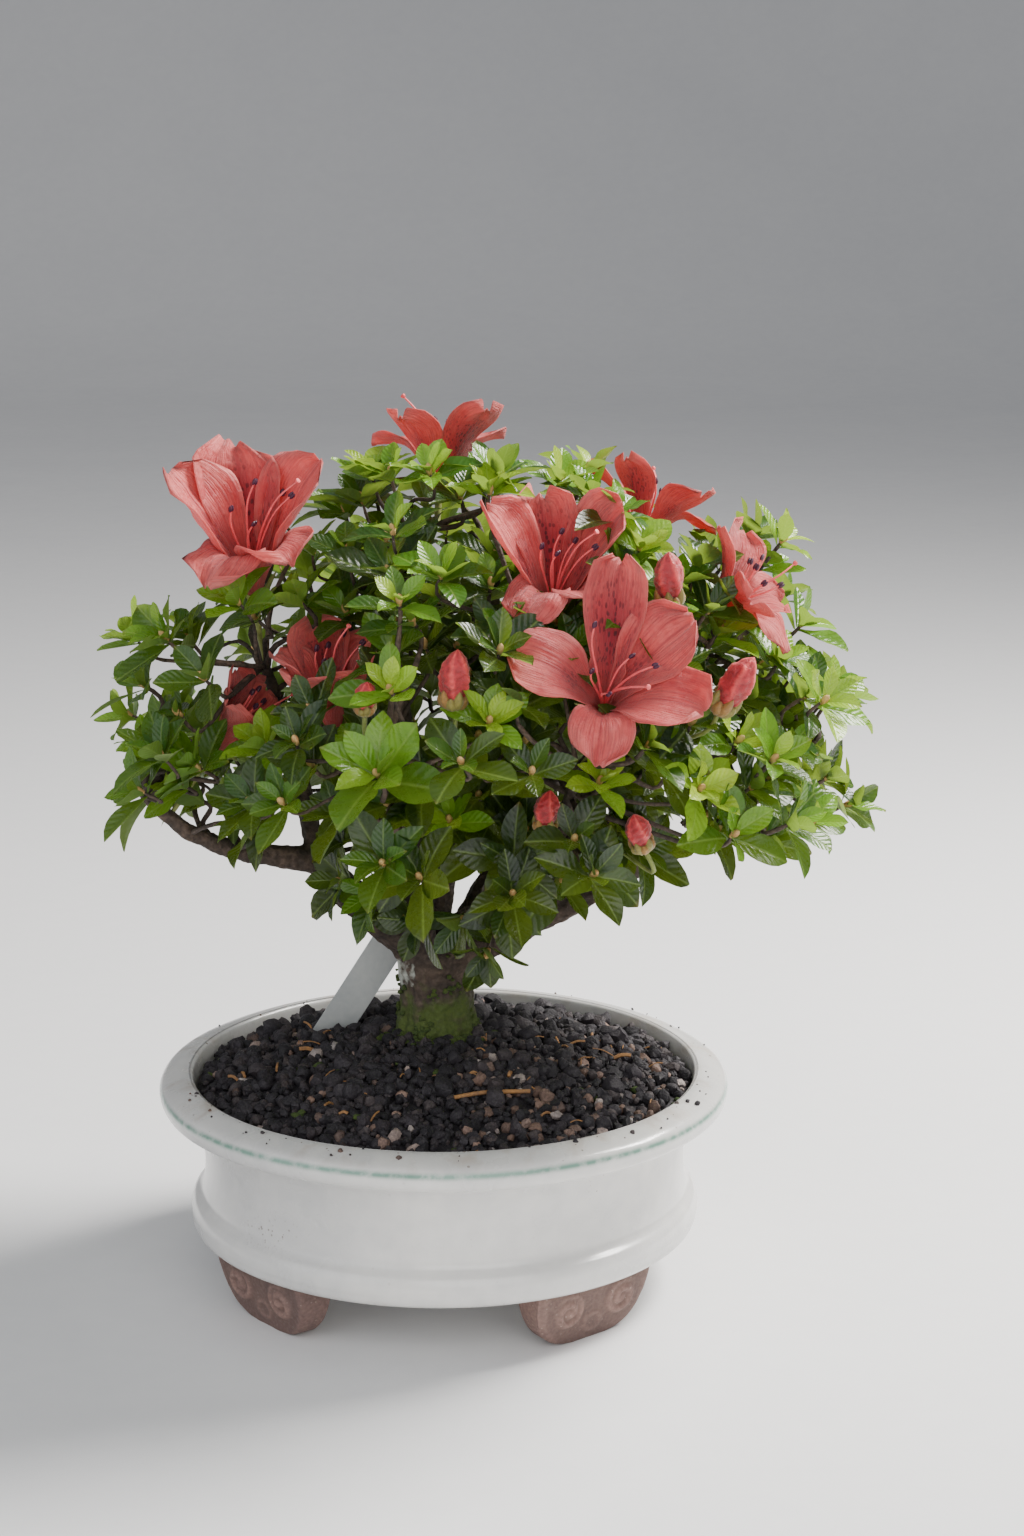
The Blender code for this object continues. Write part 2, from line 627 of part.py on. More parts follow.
class Grower:
    """Grows flowers, buds and leaf sprays from the wood where there is room."""

    def __init__(self, home, wood, room):
        self.home = home
        self.room = room
        self.wood = room.add_object(wood)
        self.random = random.Random(SEED)

    def jitter(self, amount):
        return Vector([self.random.uniform(-amount, amount) for _ in range(3)]) * MM

    def foothold(self, target):
        """A point just off the bark and the way out from it."""
        point, normal, _, _ = self.wood.find_nearest(target)
        return point + normal * GAP * MM, normal

    def stem_to(self, target, arrival, radius, sides, reach=9.0):
        """Rows of a stem from the bark to target that arrives along arrival."""
        for attempt in range(60):
            start, out = self.foothold(target + self.jitter(0.6 * attempt))
            span = (target - start).length
            bend = min(span * 0.4, reach * MM)
            first = start + out * min(2.0 * MM, span * 0.2)
            middle = (first + target - arrival * bend) / 2 + self.jitter(0.1 * attempt)
            rows = [
                (start, radius * 1.1), (first, radius * 1.05), (middle, radius),
                (target - arrival * bend * 0.5, radius), (target, radius),
            ]
            if self.room.free(tube_shape(rows, sides)):
                return rows
        return None

    def corolla(self, name, base, axis, turn, size, open_share, finish):
        rings = (
            (0.0, THROAT_RADIUS, 1.0), (0.42 * FLOWER_LENGTH, THROAT_RADIUS * 2.2, 1.0),
            (0.80 * FLOWER_LENGTH, 0.56 * FLOWER_RADIUS, 0.90),
            (0.98 * FLOWER_LENGTH, FLOWER_RADIUS, 0.66),
        )
        around = 20
        points = []
        faces = []
        for level, (rise, radius, notch) in enumerate(rings):
            share = level / (len(rings) - 1)
            spread = 1 - share * (1 - open_share)
            stretch = 1 + share * (1 - open_share) * 0.75
            grow = 1 + share * (size - 1)
            for k in range(around):
                angle = math.tau * k / around
                off = abs((k % 4) - (4 if k % 4 > 2 else 0)) / 2
                cut = 1 - (1 - notch) * (0.0, 0.22, 1.0)[int(off * 2)]
                lobe = round(k / 4) % 5
                lift = share * share * (2.4 if lobe == 0 else -0.8 if lobe in (2, 3) else 0.5)
                reach = radius * cut * spread * grow
                height = rise * stretch * grow * (1 - (1 - cut) * 0.35) + lift
                points.append(mm(reach * math.cos(angle), reach * math.sin(angle), height))
        for level in range(len(rings) - 1):
            for k in range(around):
                a = level * around + k
                b = level * around + (k + 1) % around
                faces.append((a, b, b + around, a + around))
        obj = new_object(name, points, faces, self.home, finish)
        shell = obj.modifiers.new("petal_thickness", "SOLIDIFY")
        shell.thickness = PETAL_THICKNESS * MM
        shell.offset = 0.0
        bake(obj)
        fix_facing(obj)
        obj.location = base
        turned_by = axis.to_track_quat("Z", "Y").to_matrix().to_4x4()
        spin = turned_by @ Matrix.Rotation(math.radians(turn), 4, "Z")
        obj.rotation_euler = spin.to_euler()
        smooth(obj, 60)
        return spin

    def flower(self, name, at, direction, turn, size, open_share, petals, green):
        base = tree_point(*at)
        axis = Vector(direction).normalized()
        spin = self.corolla(name + "_corolla", base, axis, turn, size, open_share, petals)
        self.room.add_object(self.home.objects[name + "_corolla"])
        cup = base - axis * 6.0 * MM
        rows = self.stem_to(cup, axis, STALK_RADIUS, 6)
        neck = THROAT_RADIUS - PETAL_THICKNESS / 2 - GAP - 0.1
        rows.extend((
            (base - axis * 2.2 * MM, STALK_RADIUS * 1.3), (base - axis * 0.9 * MM, neck * 1.7),
            (base - axis * 0.45 * MM, neck * 1.6), (base - axis * 0.35 * MM, neck),
            (base + axis * 3.0 * MM, neck),
        ))
        stalk = new_object(name + "_stalk", *tube_shape(rows, 6), self.home, green)
        fix_facing(stalk)
        threads = []
        count = 3
        length = FLOWER_LENGTH * size * (1.18 + 0.4 * (1 - open_share))
        for k in range(count):
            angle = math.tau * (k + 0.5) / count
            side = Vector((math.cos(angle), math.sin(angle), 0.0))
            tip = 1.0 if k else 1.16
            fan = min(1.0, open_share * 1.4)
            points = (
                (side * 0.75, 1.5), (side * 1.1, length * 0.3), (side * 2.6 * fan, length * 0.7),
                (side * 4.6 * fan, length * tip * 0.94), (side * 5.0 * fan, length * tip),
            )
            stem = []
            for step, (offset, rise) in enumerate(points):
                local = mm(offset.x, offset.y, rise)
                stem.append((base + spin.to_3x3() @ local, 0.8 if step == 4 else 0.42))
            threads.append(tube_shape(stem, 4))
        bundle = new_object("threads", *merged(threads), self.home)
        fix_facing(bundle)
        combine(stalk, bundle, "UNION")
        smooth(stalk, 50)
        self.room.add_object(stalk)
        recentre(stalk, base)

    def bud(self, name, at, direction, size, finish):
        base = tree_point(*at)
        axis = Vector(direction).normalized()
        rows = self.stem_to(base, axis, STALK_RADIUS, 6)
        shape = ((0.06, 0.20), (0.22, 0.30), (0.50, 0.37), (0.78, 0.25), (1.0, 0.06))
        for rise, radius in shape:
            rows.append((base + axis * BUD_LENGTH * size * rise * MM, BUD_LENGTH * size * radius))
        bud = new_object(name, *tube_shape(rows, 7), self.home, finish)
        fix_facing(bud)
        smooth(bud, 60)
        self.room.add_object(bud)
        recentre(bud, base)

    def plan_spray(self, at):
        """The main twig, side twigs and rosette centres of one spray."""
        heart = tree_point(10, 0, 30)
        main = None
        attempt = 0
        while main is None:
            centre = tree_point(*at) + self.jitter(1.5 * attempt)
            away = (centre - heart).normalized()
            up = (away + Vector((0, 0, 0.7))).normalized()
            attempt += 1
            if self.room.free(knob_shape(centre, KNOB_RADIUS + GAP)):
                main = self.stem_to(centre, up, TWIG_RADIUS, 5)
        main_shape = tube_shape(main, 5)
        self.room.add(merged([main_shape, knob_shape(centre, KNOB_RADIUS)]))
        heads = [(centre, up)]
        side_shapes = []
        across = away.orthogonal().normalized()
        for number in range(SIDE_TWIGS):
            for attempt in range(30):
                angle = math.tau * number / SIDE_TWIGS + self.random.uniform(-0.6, 0.6)
                out = Matrix.Rotation(angle, 3, away) @ across
                reach = self.random.uniform(15.0, 21.0) * MM
                head = centre + (out + away * self.random.uniform(-0.2, 0.25)) * reach
                root = main[3][0].lerp(main[4][0], 0.15 + 0.4 * number)
                rows = [(root, TWIG_RADIUS * 0.62)]
                rows.append((root.lerp(head, 0.5) + up * 1.5 * MM, TWIG_RADIUS * 0.6))
                rows.append((head, TWIG_RADIUS * 0.55))
                shape = tube_shape(rows, 4)
                own = [tree_of(other) for other in side_shapes]
                tree = tree_of(shape)
                others = [room for room in self.room.taken if room is not self.room.taken[-1]]
                knob = tree_of(knob_shape(head, KNOB_RADIUS + GAP))
                if any(tree.overlap(other) or knob.overlap(other) for other in others + own):
                    continue
                side_shapes.append(shape)
                heads.append((head, (out * 0.45 + away * 0.6 + Vector((0, 0, 0.6))).normalized()))
                break
        return main, main_shape, side_shapes, heads

    def spray(self, name, plan, finish):
        main, main_shape, side_shapes, heads = plan
        leaves = []
        own = []
        for centre, up in heads:
            across = up.orthogonal().normalized()
            start = self.random.uniform(0, math.tau)
            for k in range(LEAVES_PER_ROSETTE):
                angle = start + math.tau * k / LEAVES_PER_ROSETTE + self.random.uniform(-0.2, 0.2)
                out = Matrix.Rotation(angle, 3, up) @ across
                for climb in (0.35, 0.75, 0.1, 1.3):
                    ahead = (out + up * (climb + self.random.uniform(-0.12, 0.12))).normalized()
                    grow = self.random.uniform(0.85, 1.12)
                    sizes = (LEAF_LENGTH * grow, LEAF_WIDTH * grow, LEAF_THICKNESS)
                    wide = [value + 3 * GAP for value in sizes]
                    base = centre + ahead * KNOB_RADIUS * 0.4 * MM
                    near = tree_of(leaf_shape(centre + ahead * 2.2 * MM, ahead, up, *wide))
                    whole = tree_of(leaf_shape(base + up * GAP * MM, ahead, up, *wide))
                    if any(near.overlap(other) for other in own):
                        continue
                    if any(whole.overlap(other) for other in self.room.taken):
                        continue
                    shape = leaf_shape(base, ahead, up, *sizes)
                    leaves.append(shape)
                    own.append(tree_of(shape))
                    break
        spray = new_object(name, *main_shape, self.home, finish)
        fix_facing(spray)
        knobs = [knob_shape(centre, KNOB_RADIUS) for centre, _ in heads]
        for shape in side_shapes + knobs + leaves:
            extra = new_object("extra", *shape, self.home)
            fix_facing(extra)
            join_if_one(spray, extra)
        self.room.add_object(spray)
        recentre(spray, heads[0][0])


def grow_tree(home, wood, label):
    petals = material("petal_coral", (0.78, 0.16, 0.14), 0.5)
    stalk_green = material("stalk_green", (0.34, 0.20, 0.12), 0.6)
    bud_red = material("bud_red", (0.55, 0.05, 0.07), 0.6)
    leaf_green = material("leaf_green", (0.07, 0.16, 0.03), 0.4)
    room = Room()
    room.add_object(label)
    grower = Grower(home, wood, room)
    for row in FLOWERS:
        grower.flower(*row, petals, stalk_green)
    for row in BUDS:
        grower.bud(*row, bud_red)
    plans = [grower.plan_spray(at) for at in SPRAYS]
    own_room = list(room.taken)
    count = len(SPRAYS)
    mains = own_room[-count:]
    fixed = own_room[:-count]
    for index, plan in enumerate(plans):
        sides = []
        for other in plans[index + 1:]:
            sides.extend(tree_of(shape) for shape in other[2])
            sides.extend(tree_of(knob_shape(head, KNOB_RADIUS + GAP)) for head, _ in other[3])
        waiting = [tree for k, tree in enumerate(mains) if k > index]
        grown = room.taken[len(own_room):]
        later = Room()
        later.taken = fixed + waiting + sides + grown
        grower.room = later
        grower.spray("leaf_spray_%02d" % (index + 1), plan, leaf_green)
        room.taken.append(later.taken[-1])


def centre_all(home):
    """Put the middle of the whole plant on the Z axis, with an empty as everything's parent."""
    bpy.context.view_layer.update()
    graph = bpy.context.evaluated_depsgraph_get()
    corners = []
    for obj in home.objects:
        shape = obj.evaluated_get(graph)
        corners.extend(shape.matrix_world @ Vector(corner) for corner in shape.bound_box)
    middle_x = (min(c.x for c in corners) + max(c.x for c in corners)) / 2
    middle_y = (min(c.y for c in corners) + max(c.y for c in corners)) / 2
    root = bpy.data.objects.new("bonsai_root", None)
    home.objects.link(root)
    for obj in list(home.objects):
        if obj is not root:
            obj.parent = root
    root.location = (-middle_x, -middle_y, 0.0)


def main():
    clear_scene()
    home = collection("bonsai_azalea")
    build_pot(home)
    build_feet(home)
    build_drainage(home)
    build_soil(home)
    label = build_label(home)
    wood = build_wood(home)
    grow_tree(home, wood, label)
    centre_all(home)


main()
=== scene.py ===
"""Looks of a flowering azalea bonsai in a round glazed pot, built around its fixed CAD frame."""

from __future__ import annotations

import json
import logging
from dataclasses import dataclass, field
from enum import Enum
from math import atan2, cos, exp, hypot, pi, radians, sin, sqrt, tau
from random import Random
from typing import Iterable, Sequence

import bmesh
import bpy
import numpy as np
from mathutils import Matrix, Vector
from mathutils.bvhtree import BVHTree
from mathutils.noise import noise

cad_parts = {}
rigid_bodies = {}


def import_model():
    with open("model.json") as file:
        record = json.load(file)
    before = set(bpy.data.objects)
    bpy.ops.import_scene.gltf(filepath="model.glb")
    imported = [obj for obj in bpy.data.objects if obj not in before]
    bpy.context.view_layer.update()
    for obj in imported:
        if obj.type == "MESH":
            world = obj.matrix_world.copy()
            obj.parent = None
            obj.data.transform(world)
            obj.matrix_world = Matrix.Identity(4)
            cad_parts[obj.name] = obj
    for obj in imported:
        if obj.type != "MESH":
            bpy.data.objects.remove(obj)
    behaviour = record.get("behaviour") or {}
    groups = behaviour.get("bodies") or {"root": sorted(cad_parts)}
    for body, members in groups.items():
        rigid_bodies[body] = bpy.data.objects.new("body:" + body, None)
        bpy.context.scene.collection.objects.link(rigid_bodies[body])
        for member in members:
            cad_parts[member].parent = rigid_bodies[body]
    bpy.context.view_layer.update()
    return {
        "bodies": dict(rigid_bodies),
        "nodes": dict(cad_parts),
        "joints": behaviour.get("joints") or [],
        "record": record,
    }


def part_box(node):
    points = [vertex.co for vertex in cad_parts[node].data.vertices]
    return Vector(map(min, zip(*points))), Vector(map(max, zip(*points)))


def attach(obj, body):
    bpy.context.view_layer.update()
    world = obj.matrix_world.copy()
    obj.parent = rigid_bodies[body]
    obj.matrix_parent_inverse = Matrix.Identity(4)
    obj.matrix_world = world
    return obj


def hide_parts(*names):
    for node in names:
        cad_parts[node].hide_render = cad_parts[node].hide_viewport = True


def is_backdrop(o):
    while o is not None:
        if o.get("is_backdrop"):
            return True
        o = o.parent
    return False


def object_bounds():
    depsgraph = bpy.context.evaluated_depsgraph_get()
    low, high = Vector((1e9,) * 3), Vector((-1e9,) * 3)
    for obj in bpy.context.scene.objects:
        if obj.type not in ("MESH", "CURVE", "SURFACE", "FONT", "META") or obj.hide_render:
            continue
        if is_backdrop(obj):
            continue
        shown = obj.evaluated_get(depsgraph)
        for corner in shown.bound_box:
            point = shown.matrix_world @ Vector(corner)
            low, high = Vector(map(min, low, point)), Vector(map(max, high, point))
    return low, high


LOG = logging.getLogger("bonsai")
MM = 0.001
SEED = 7
BODY = "root"
SMOOTH = 180.0
GOLDEN_ANGLE = 2.399963

Colour = tuple[float, float, float]
Material = bpy.types.Material
Node = bpy.types.Node
Piece = bpy.types.Object
Socket = bpy.types.NodeSocket
Tree = bpy.types.NodeTree


class Slot(Enum):
    """The part's finishes, one name to each that can be changed on its own."""

    GLAZE = "pot_glaze"
    CLAY = "foot_clay"
    SCREEN = "screen_plastic"
    CLIP = "clip_wire"
    GRAVEL = "gravel_soil"
    LABEL = "label_plastic"
    BARK = "bark"
    FOLIAGE = "foliage"
    PETALS = "petals"
    STALKS = "flower_stalks"
    BUDS = "buds"


# ---------------- shader helpers


class Bench:
    """A node tree being built, with short ways to add and join nodes."""

    def __init__(self, tree: Tree) -> None:
        """Start on a tree.

        Args:
            tree: The material's or group's node tree.
        """
        self.tree = tree

    def node(self, kind: str, **settings: object) -> Node:
        """Add a node.

        Args:
            kind: The node's type name without its ShaderNode prefix.
            settings: Properties to set on it.

        Returns:
            The new node.
        """
        made = self.tree.nodes.new("ShaderNode" + kind)
        for key, value in settings.items():
            setattr(made, key, value)
        return made

    def feed(self, source: Socket | float | Sequence[float], target: Socket) -> None:
        """Join a socket to another, or set a plain value on it.

        Args:
            source: The socket or value.
            target: The socket that takes it.
        """
        if isinstance(source, Socket):
            self.tree.links.new(source, target)
        else:
            target.default_value = source

    def fix(self, node: Node, **values: object) -> None:
        """Set a node's own inputs, named with _ for a space."""
        for name, value in values.items():
            node.inputs[name.replace("_", " ")].default_value = value

    def attribute(self, name: str) -> Socket:
        """The value of a per-point attribute."""
        return self.node("Attribute", attribute_name=name).outputs["Fac"]

    def place(self) -> Socket:
        """Object coordinates."""
        return self.node("TexCoord").outputs["Object"]

    def math(self, how: str, a: object, b: object = 0.0) -> Socket:
        """A math node's value.

        Args:
            how: The operation.
            a: Its first number.
            b: Its second number.

        Returns:
            The result's socket.
        """
        made = self.node("Math", operation=how)
        self.feed(a, made.inputs[0])
        self.feed(b, made.inputs[1])
        return made.outputs[0]

    def times(self, a: object, b: object) -> Socket:
        """One value times another."""
        return self.math("MULTIPLY", a, b)

    def plus(self, a: object, b: object) -> Socket:
        """Two values added."""
        return self.math("ADD", a, b)

    def combine(self, x: object, y: object, z: object = 0.0) -> Socket:
        """Three numbers as one vector.

        Args:
            x: The first.
            y: The second.
            z: The third.

        Returns:
            The vector's socket.
        """
        made = self.node("CombineXYZ")
        for source, target in zip((x, y, z), made.inputs):
            self.feed(source, target)
        return made.outputs[0]

    def ramp(self, value: Socket, stops: Sequence[tuple[float, Colour]]) -> Socket:
        """A colour ramp's colour.

        Args:
            value: What drives it.
            stops: Positions and colours, in order.

        Returns:
            The colour socket.
        """
        made = self.node("ValToRGB")
        bar = made.color_ramp
        while len(bar.elements) < len(stops):
            bar.elements.new(0.5)
        for element, (at, colour) in zip(bar.elements, stops):
            element.position = at
            element.color = (*colour, 1.0)
        self.feed(value, made.inputs[0])
        return made.outputs[0]

    def span(self, value: Socket, low: float, high: float, to_low: float = 0.0,
             to_high: float = 1.0) -> Socket:
        """A value mapped from one range to another, clamped.

        Args:
            value: The value.
            low: Where the first range starts.
            high: Where it ends.
            to_low: What low becomes.
            to_high: What high becomes.

        Returns:
            The mapped value.
        """
        made = self.node("MapRange", clamp=True)
        self.feed(value, made.inputs[0])
        for index, limit in enumerate((low, high, to_low, to_high)):
            made.inputs[index + 1].default_value = limit
        return made.outputs[0]

    def mix(self, share: object, first: object, second: object, how: str = "MIX") -> Socket:
        """Two colours mixed.

        Args:
            share: How much of the second is taken.
            first: The first colour.
            second: The second colour.
            how: The way they blend.

        Returns:
            The colour socket.
        """
        made = self.node("Mix", data_type="RGBA", blend_type=how)
        for source, index in ((share, 0), (first, 6), (second, 7)):
            if isinstance(source, tuple) and len(source) == 3:
                source = (*source, 1.0)
            self.feed(source, made.inputs[index])
        return made.outputs[2]

    def cloud(self, scale: float, detail: float = 4.0) -> Socket:
        """Noise.

        Args:
            scale: Blobs to the metre.
            detail: How many finer layers it has.

        Returns:
            Its value.
        """
        made = self.node("TexNoise")
        self.feed(self.place(), made.inputs["Vector"])
        self.fix(made, Scale=scale, Detail=detail, Roughness=0.55)
        return made.outputs[0]

    def cells(self, scale: float, where: Socket | None = None) -> Socket:
        """The distance to the nearest of scattered points.

        Args:
            scale: Cells to the metre.
            where: Coordinates, the object's own if left out.

        Returns:
            The distance.
        """
        made = self.node("TexVoronoi")
        self.feed(where or self.place(), made.inputs["Vector"])
        self.fix(made, Scale=scale)
        return made.outputs["Distance"]

    def bump(self, height: Socket, strength: float, depth: float) -> Socket:
        """A bump normal.

        Args:
            height: The relief.
            strength: How much of it shows.
            depth: Its depth in metres.

        Returns:
            The normal.
        """
        made = self.node("Bump")
        self.fix(made, Strength=strength, Distance=depth)
        self.feed(height, made.inputs["Height"])
        return made.outputs[0]

    def dress(self, shader: Node, colour: Socket, rough: Socket, normal: Socket) -> None:
        """Feed a Principled shader.

        Args:
            shader: The shader.
            colour: Its base colour.
            rough: Its roughness.
            normal: Its normal.
        """
        for source, name in ((colour, "Base Color"), (rough, "Roughness"), (normal, "Normal")):
            self.feed(source, shader.inputs[name])

    def group(self, tree: Tree, **values: object) -> Node:
        """A node group placed with its own values.

        Args:
            tree: The group.
            values: What its inputs get, with _ for a space.

        Returns:
            The group's node.
        """
        made = self.node("Group", node_tree=tree)
        for key, value in values.items():
            self.feed(value, made.inputs[key.replace("_", " ")])
        return made


def group_tree(name: str, inputs: Iterable[tuple[str, float | Colour]],
               outputs: Iterable[str]) -> tuple[Tree, Bench, object, object]:
    """Start a shader node group.

    Args:
        name: The group's name.
        inputs: Name and default of each input, a number or a colour.
        outputs: Name of each output; Colour is a colour and the others are numbers.

    Returns:
        The tree, a bench on it, its input node and its output node.
    """
    tree = bpy.data.node_groups.new(name, "ShaderNodeTree")
    for title, default in inputs:
        kind = "NodeSocketFloat" if isinstance(default, float) else "NodeSocketColor"
        made = tree.interface.new_socket(title, in_out="INPUT", socket_type=kind)
        made.default_value = default
    for title in outputs:
        kind = "NodeSocketColor" if title == "Colour" else "NodeSocketFloat"
        tree.interface.new_socket(title, in_out="OUTPUT", socket_type=kind)
    start = tree.nodes.new("NodeGroupInput")
    end = tree.nodes.new("NodeGroupOutput")
    return tree, Bench(tree), start, end


class Effects:
    """Shared shader effects, each one node group built once."""

    def __init__(self) -> None:
        """Build the groups."""
        self.mottle = self._mottle()
        self.specks = self._specks()
        self.veins = self._veins()

    def drift(self, bench: Bench, first: Colour, second: Colour, scale: float, fine: float,
              share: float) -> Node:
        """Place the drifting tone.

        Args:
            bench: The material's bench.
            first: One colour.
            second: The other colour.
            scale: Broad blobs to the metre.
            fine: Fine blobs to the metre.
            share: How much the fine ones count.

        Returns:
            The group's node.
        """
        return bench.group(self.mottle, Colour_A=(*first, 1), Colour_B=(*second, 1), Scale=scale,
                           Fine_Scale=fine, Fine_Share=share)

    def _mottle(self) -> Tree:
        """Two colours drifting into each other at two scales, with a height.

        Returns:
            The group.
        """
        tree, bench, start, end = group_tree(
            "drifting_tone",
            (("Colour A", (1, 1, 1, 1)), ("Colour B", (0, 0, 0, 1)),
             ("Scale", 60.0), ("Fine Scale", 600.0),
             ("Fine Share", 0.35)),
            ("Colour", "Mask", "Height"),
        )
        place = bench.place()
        broad = bench.node("TexNoise")
        fine = bench.node("TexNoise")
        for made, scale in ((broad, "Scale"), (fine, "Fine Scale")):
            bench.feed(place, made.inputs["Vector"])
            bench.feed(start.outputs[scale], made.inputs["Scale"])
            bench.fix(made, Detail=5.0)
        both = bench.node("Mix", data_type="FLOAT")
        bench.feed(start.outputs["Fine Share"], both.inputs[0])
        bench.feed(broad.outputs[0], both.inputs[2])
        bench.feed(fine.outputs[0], both.inputs[3])
        mask = bench.span(both.outputs[0], 0.36, 0.64)
        colour = bench.mix(mask, start.outputs["Colour A"], start.outputs["Colour B"])
        bench.feed(colour, end.inputs["Colour"])
        bench.feed(mask, end.inputs["Mask"])
        bench.feed(fine.outputs[0], end.inputs["Height"])
        return tree

    def _specks(self) -> Tree:
        """A mask of scattered small spots.

        Returns:
            The group.
        """
        tree, bench, start, end = group_tree(
            "scattered_specks",
            (("Scale", 400.0), ("Size", 0.16),
             ("Cover", 0.5)),
            ("Mask",),
        )
        cell = bench.node("TexVoronoi")
        bench.feed(bench.place(), cell.inputs["Vector"])
        bench.feed(start.outputs["Scale"], cell.inputs["Scale"])
        spot = bench.math("LESS_THAN", cell.outputs["Distance"], start.outputs["Size"])
        chance = bench.node("SeparateColor")
        bench.feed(cell.outputs["Color"], chance.inputs[0])
        kept = bench.math("LESS_THAN", chance.outputs[0], start.outputs["Cover"])
        bench.feed(bench.times(spot, kept), end.inputs["Mask"])
        return tree

    def _veins(self) -> Tree:
        """Midrib and side veins from along and across values, as a mask and a height.

        Returns:
            The group.
        """
        tree, bench, start, end = group_tree(
            "rib_and_veins",
            (("Along", 0.0), ("Across", 0.0),
             ("Count", 9.0), ("Slant", 0.35)),
            ("Rib", "Side", "Height"),
        )
        away = bench.math("ABSOLUTE", start.outputs["Across"])
        rib = bench.span(away, 0.02, 0.11, 1.0, 0.0)
        slid = bench.times(away, start.outputs["Slant"])
        run = bench.math("SUBTRACT", start.outputs["Along"], slid)
        turned = bench.times(bench.times(run, start.outputs["Count"]), tau)
        wave = bench.math("SINE", turned)
        side = bench.span(wave, 0.80, 1.0)
        height = bench.plus(bench.times(wave, 0.5), bench.times(rib, -1.6))
        bench.feed(rib, end.inputs["Rib"])
        bench.feed(side, end.inputs["Side"])
        bench.feed(height, end.inputs["Height"])
        return tree


def start_material(name: str) -> tuple[Material, Bench, Node]:
    """A new material.

    Args:
        name: Its name.

    Returns:
        The material, a bench on its nodes and its Principled shader.
    """
    made = bpy.data.materials.new(name)
    made.use_nodes = True
    return made, Bench(made.node_tree), made.node_tree.nodes["Principled BSDF"]


def add_glow_through(bench: Bench, shader: Node, colour: Socket, share: float) -> None:
    """Let light pass through a thin surface, next to its Principled shader.

    Args:
        bench: The material's bench.
        shader: Its Principled shader.
        colour: The colour that light takes.
        share: How much of the light passes.
    """
    thin = bench.node("BsdfTranslucent")
    bench.feed(colour, thin.inputs["Color"])
    both = bench.node("MixShader")
    both.inputs[0].default_value = share
    bench.feed(shader.outputs[0], both.inputs[1])
    bench.feed(thin.outputs[0], both.inputs[2])
    out = next(n for n in bench.tree.nodes if n.type == "OUTPUT_MATERIAL")
    bench.feed(both.outputs[0], out.inputs["Surface"])


@dataclass(frozen=True)
class GlazeFinish:
    """Cloudy off-white glaze with a pale green line, specks, stains and settled dust."""

    light: Colour = (0.71, 0.695, 0.665)
    shade: Colour = (0.56, 0.555, 0.545)
    line: Colour = (0.13, 0.26, 0.20)
    stain: Colour = (0.16, 0.11, 0.08)
    dust: Colour = (0.40, 0.33, 0.27)

    def build(self, effects: Effects) -> Material:
        """Build the glaze's material.

        Args:
            effects: The shared effects.

        Returns:
            The material.
        """
        made, bench, shader = start_material("cloudy_glaze")
        tone = effects.drift(bench, self.light, self.shade, 22.0, 170.0, 0.30)
        ragged = bench.cloud(260.0, 4.0)
        line = bench.times(bench.attribute("line"), bench.span(ragged, 0.30, 0.55, 0.35, 0.95))
        colour = bench.mix(line, tone.outputs[0], self.line)
        soiled = bench.times(bench.attribute("soiled"), bench.span(bench.cloud(90.0, 6.0), 0.50, 0.66))
        colour = bench.mix(bench.times(soiled, 0.55), colour, self.dust)
        specks = bench.group(effects.specks, Scale=210.0, Size=0.10, Cover=0.16)
        fine = bench.group(effects.specks, Scale=520.0, Size=0.16, Cover=0.05)
        marks = bench.math("MAXIMUM", specks.outputs[0], fine.outputs[0])
        near = bench.plus(bench.times(bench.attribute("soiled"), 0.75), 0.12)
        colour = bench.mix(bench.times(marks, near), colour, self.stain)
        grit = bench.group(effects.specks, Scale=900.0, Size=0.30, Cover=0.45)
        splash = bench.times(bench.attribute("splash"), grit.outputs[0])
        colour = bench.mix(bench.times(splash, 0.8), colour, self.stain)
        matt = bench.plus(bench.times(tone.outputs["Mask"], 0.14),
                          bench.times(soiled, 0.35))
        bench.dress(shader, colour, bench.plus(matt, 0.16),
                    bench.bump(bench.cloud(45.0, 2.0), 0.35, 0.0012))
        bench.fix(shader, Coat_Weight=0.35, Coat_Roughness=0.12)
        return made


@dataclass(frozen=True)
class ClayFinish:
    """Bare pinkish-brown fired clay, with painted shade in the foot's recesses."""

    warm: Colour = (0.27, 0.165, 0.135)
    dull: Colour = (0.15, 0.095, 0.085)

    def build(self, effects: Effects) -> Material:
        """Build the clay's material.

        Args:
            effects: The shared effects.

        Returns:
            The material.
        """
        made, bench, shader = start_material("bare_clay")
        tone = effects.drift(bench, self.warm, self.dull, 70.0, 900.0, 0.45)
        pits = bench.group(effects.specks, Scale=700.0, Size=0.22, Cover=0.25)
        colour = bench.mix(bench.times(pits.outputs[0], 0.5), tone.outputs[0], (0.42, 0.32, 0.27))
        # Painted shade: darkens the clay where the foot's relief sinks back, and a little on its inner
        # face.
        hollow = bench.attribute("hollow")
        colour = bench.mix(bench.times(hollow, 0.62), colour, (0.085, 0.055, 0.048))
        bench.dress(shader, colour, bench.span(tone.outputs["Height"], 0.3, 0.7, 0.72, 0.92),
                    bench.bump(tone.outputs["Height"], 0.6, 0.0006))
        return made


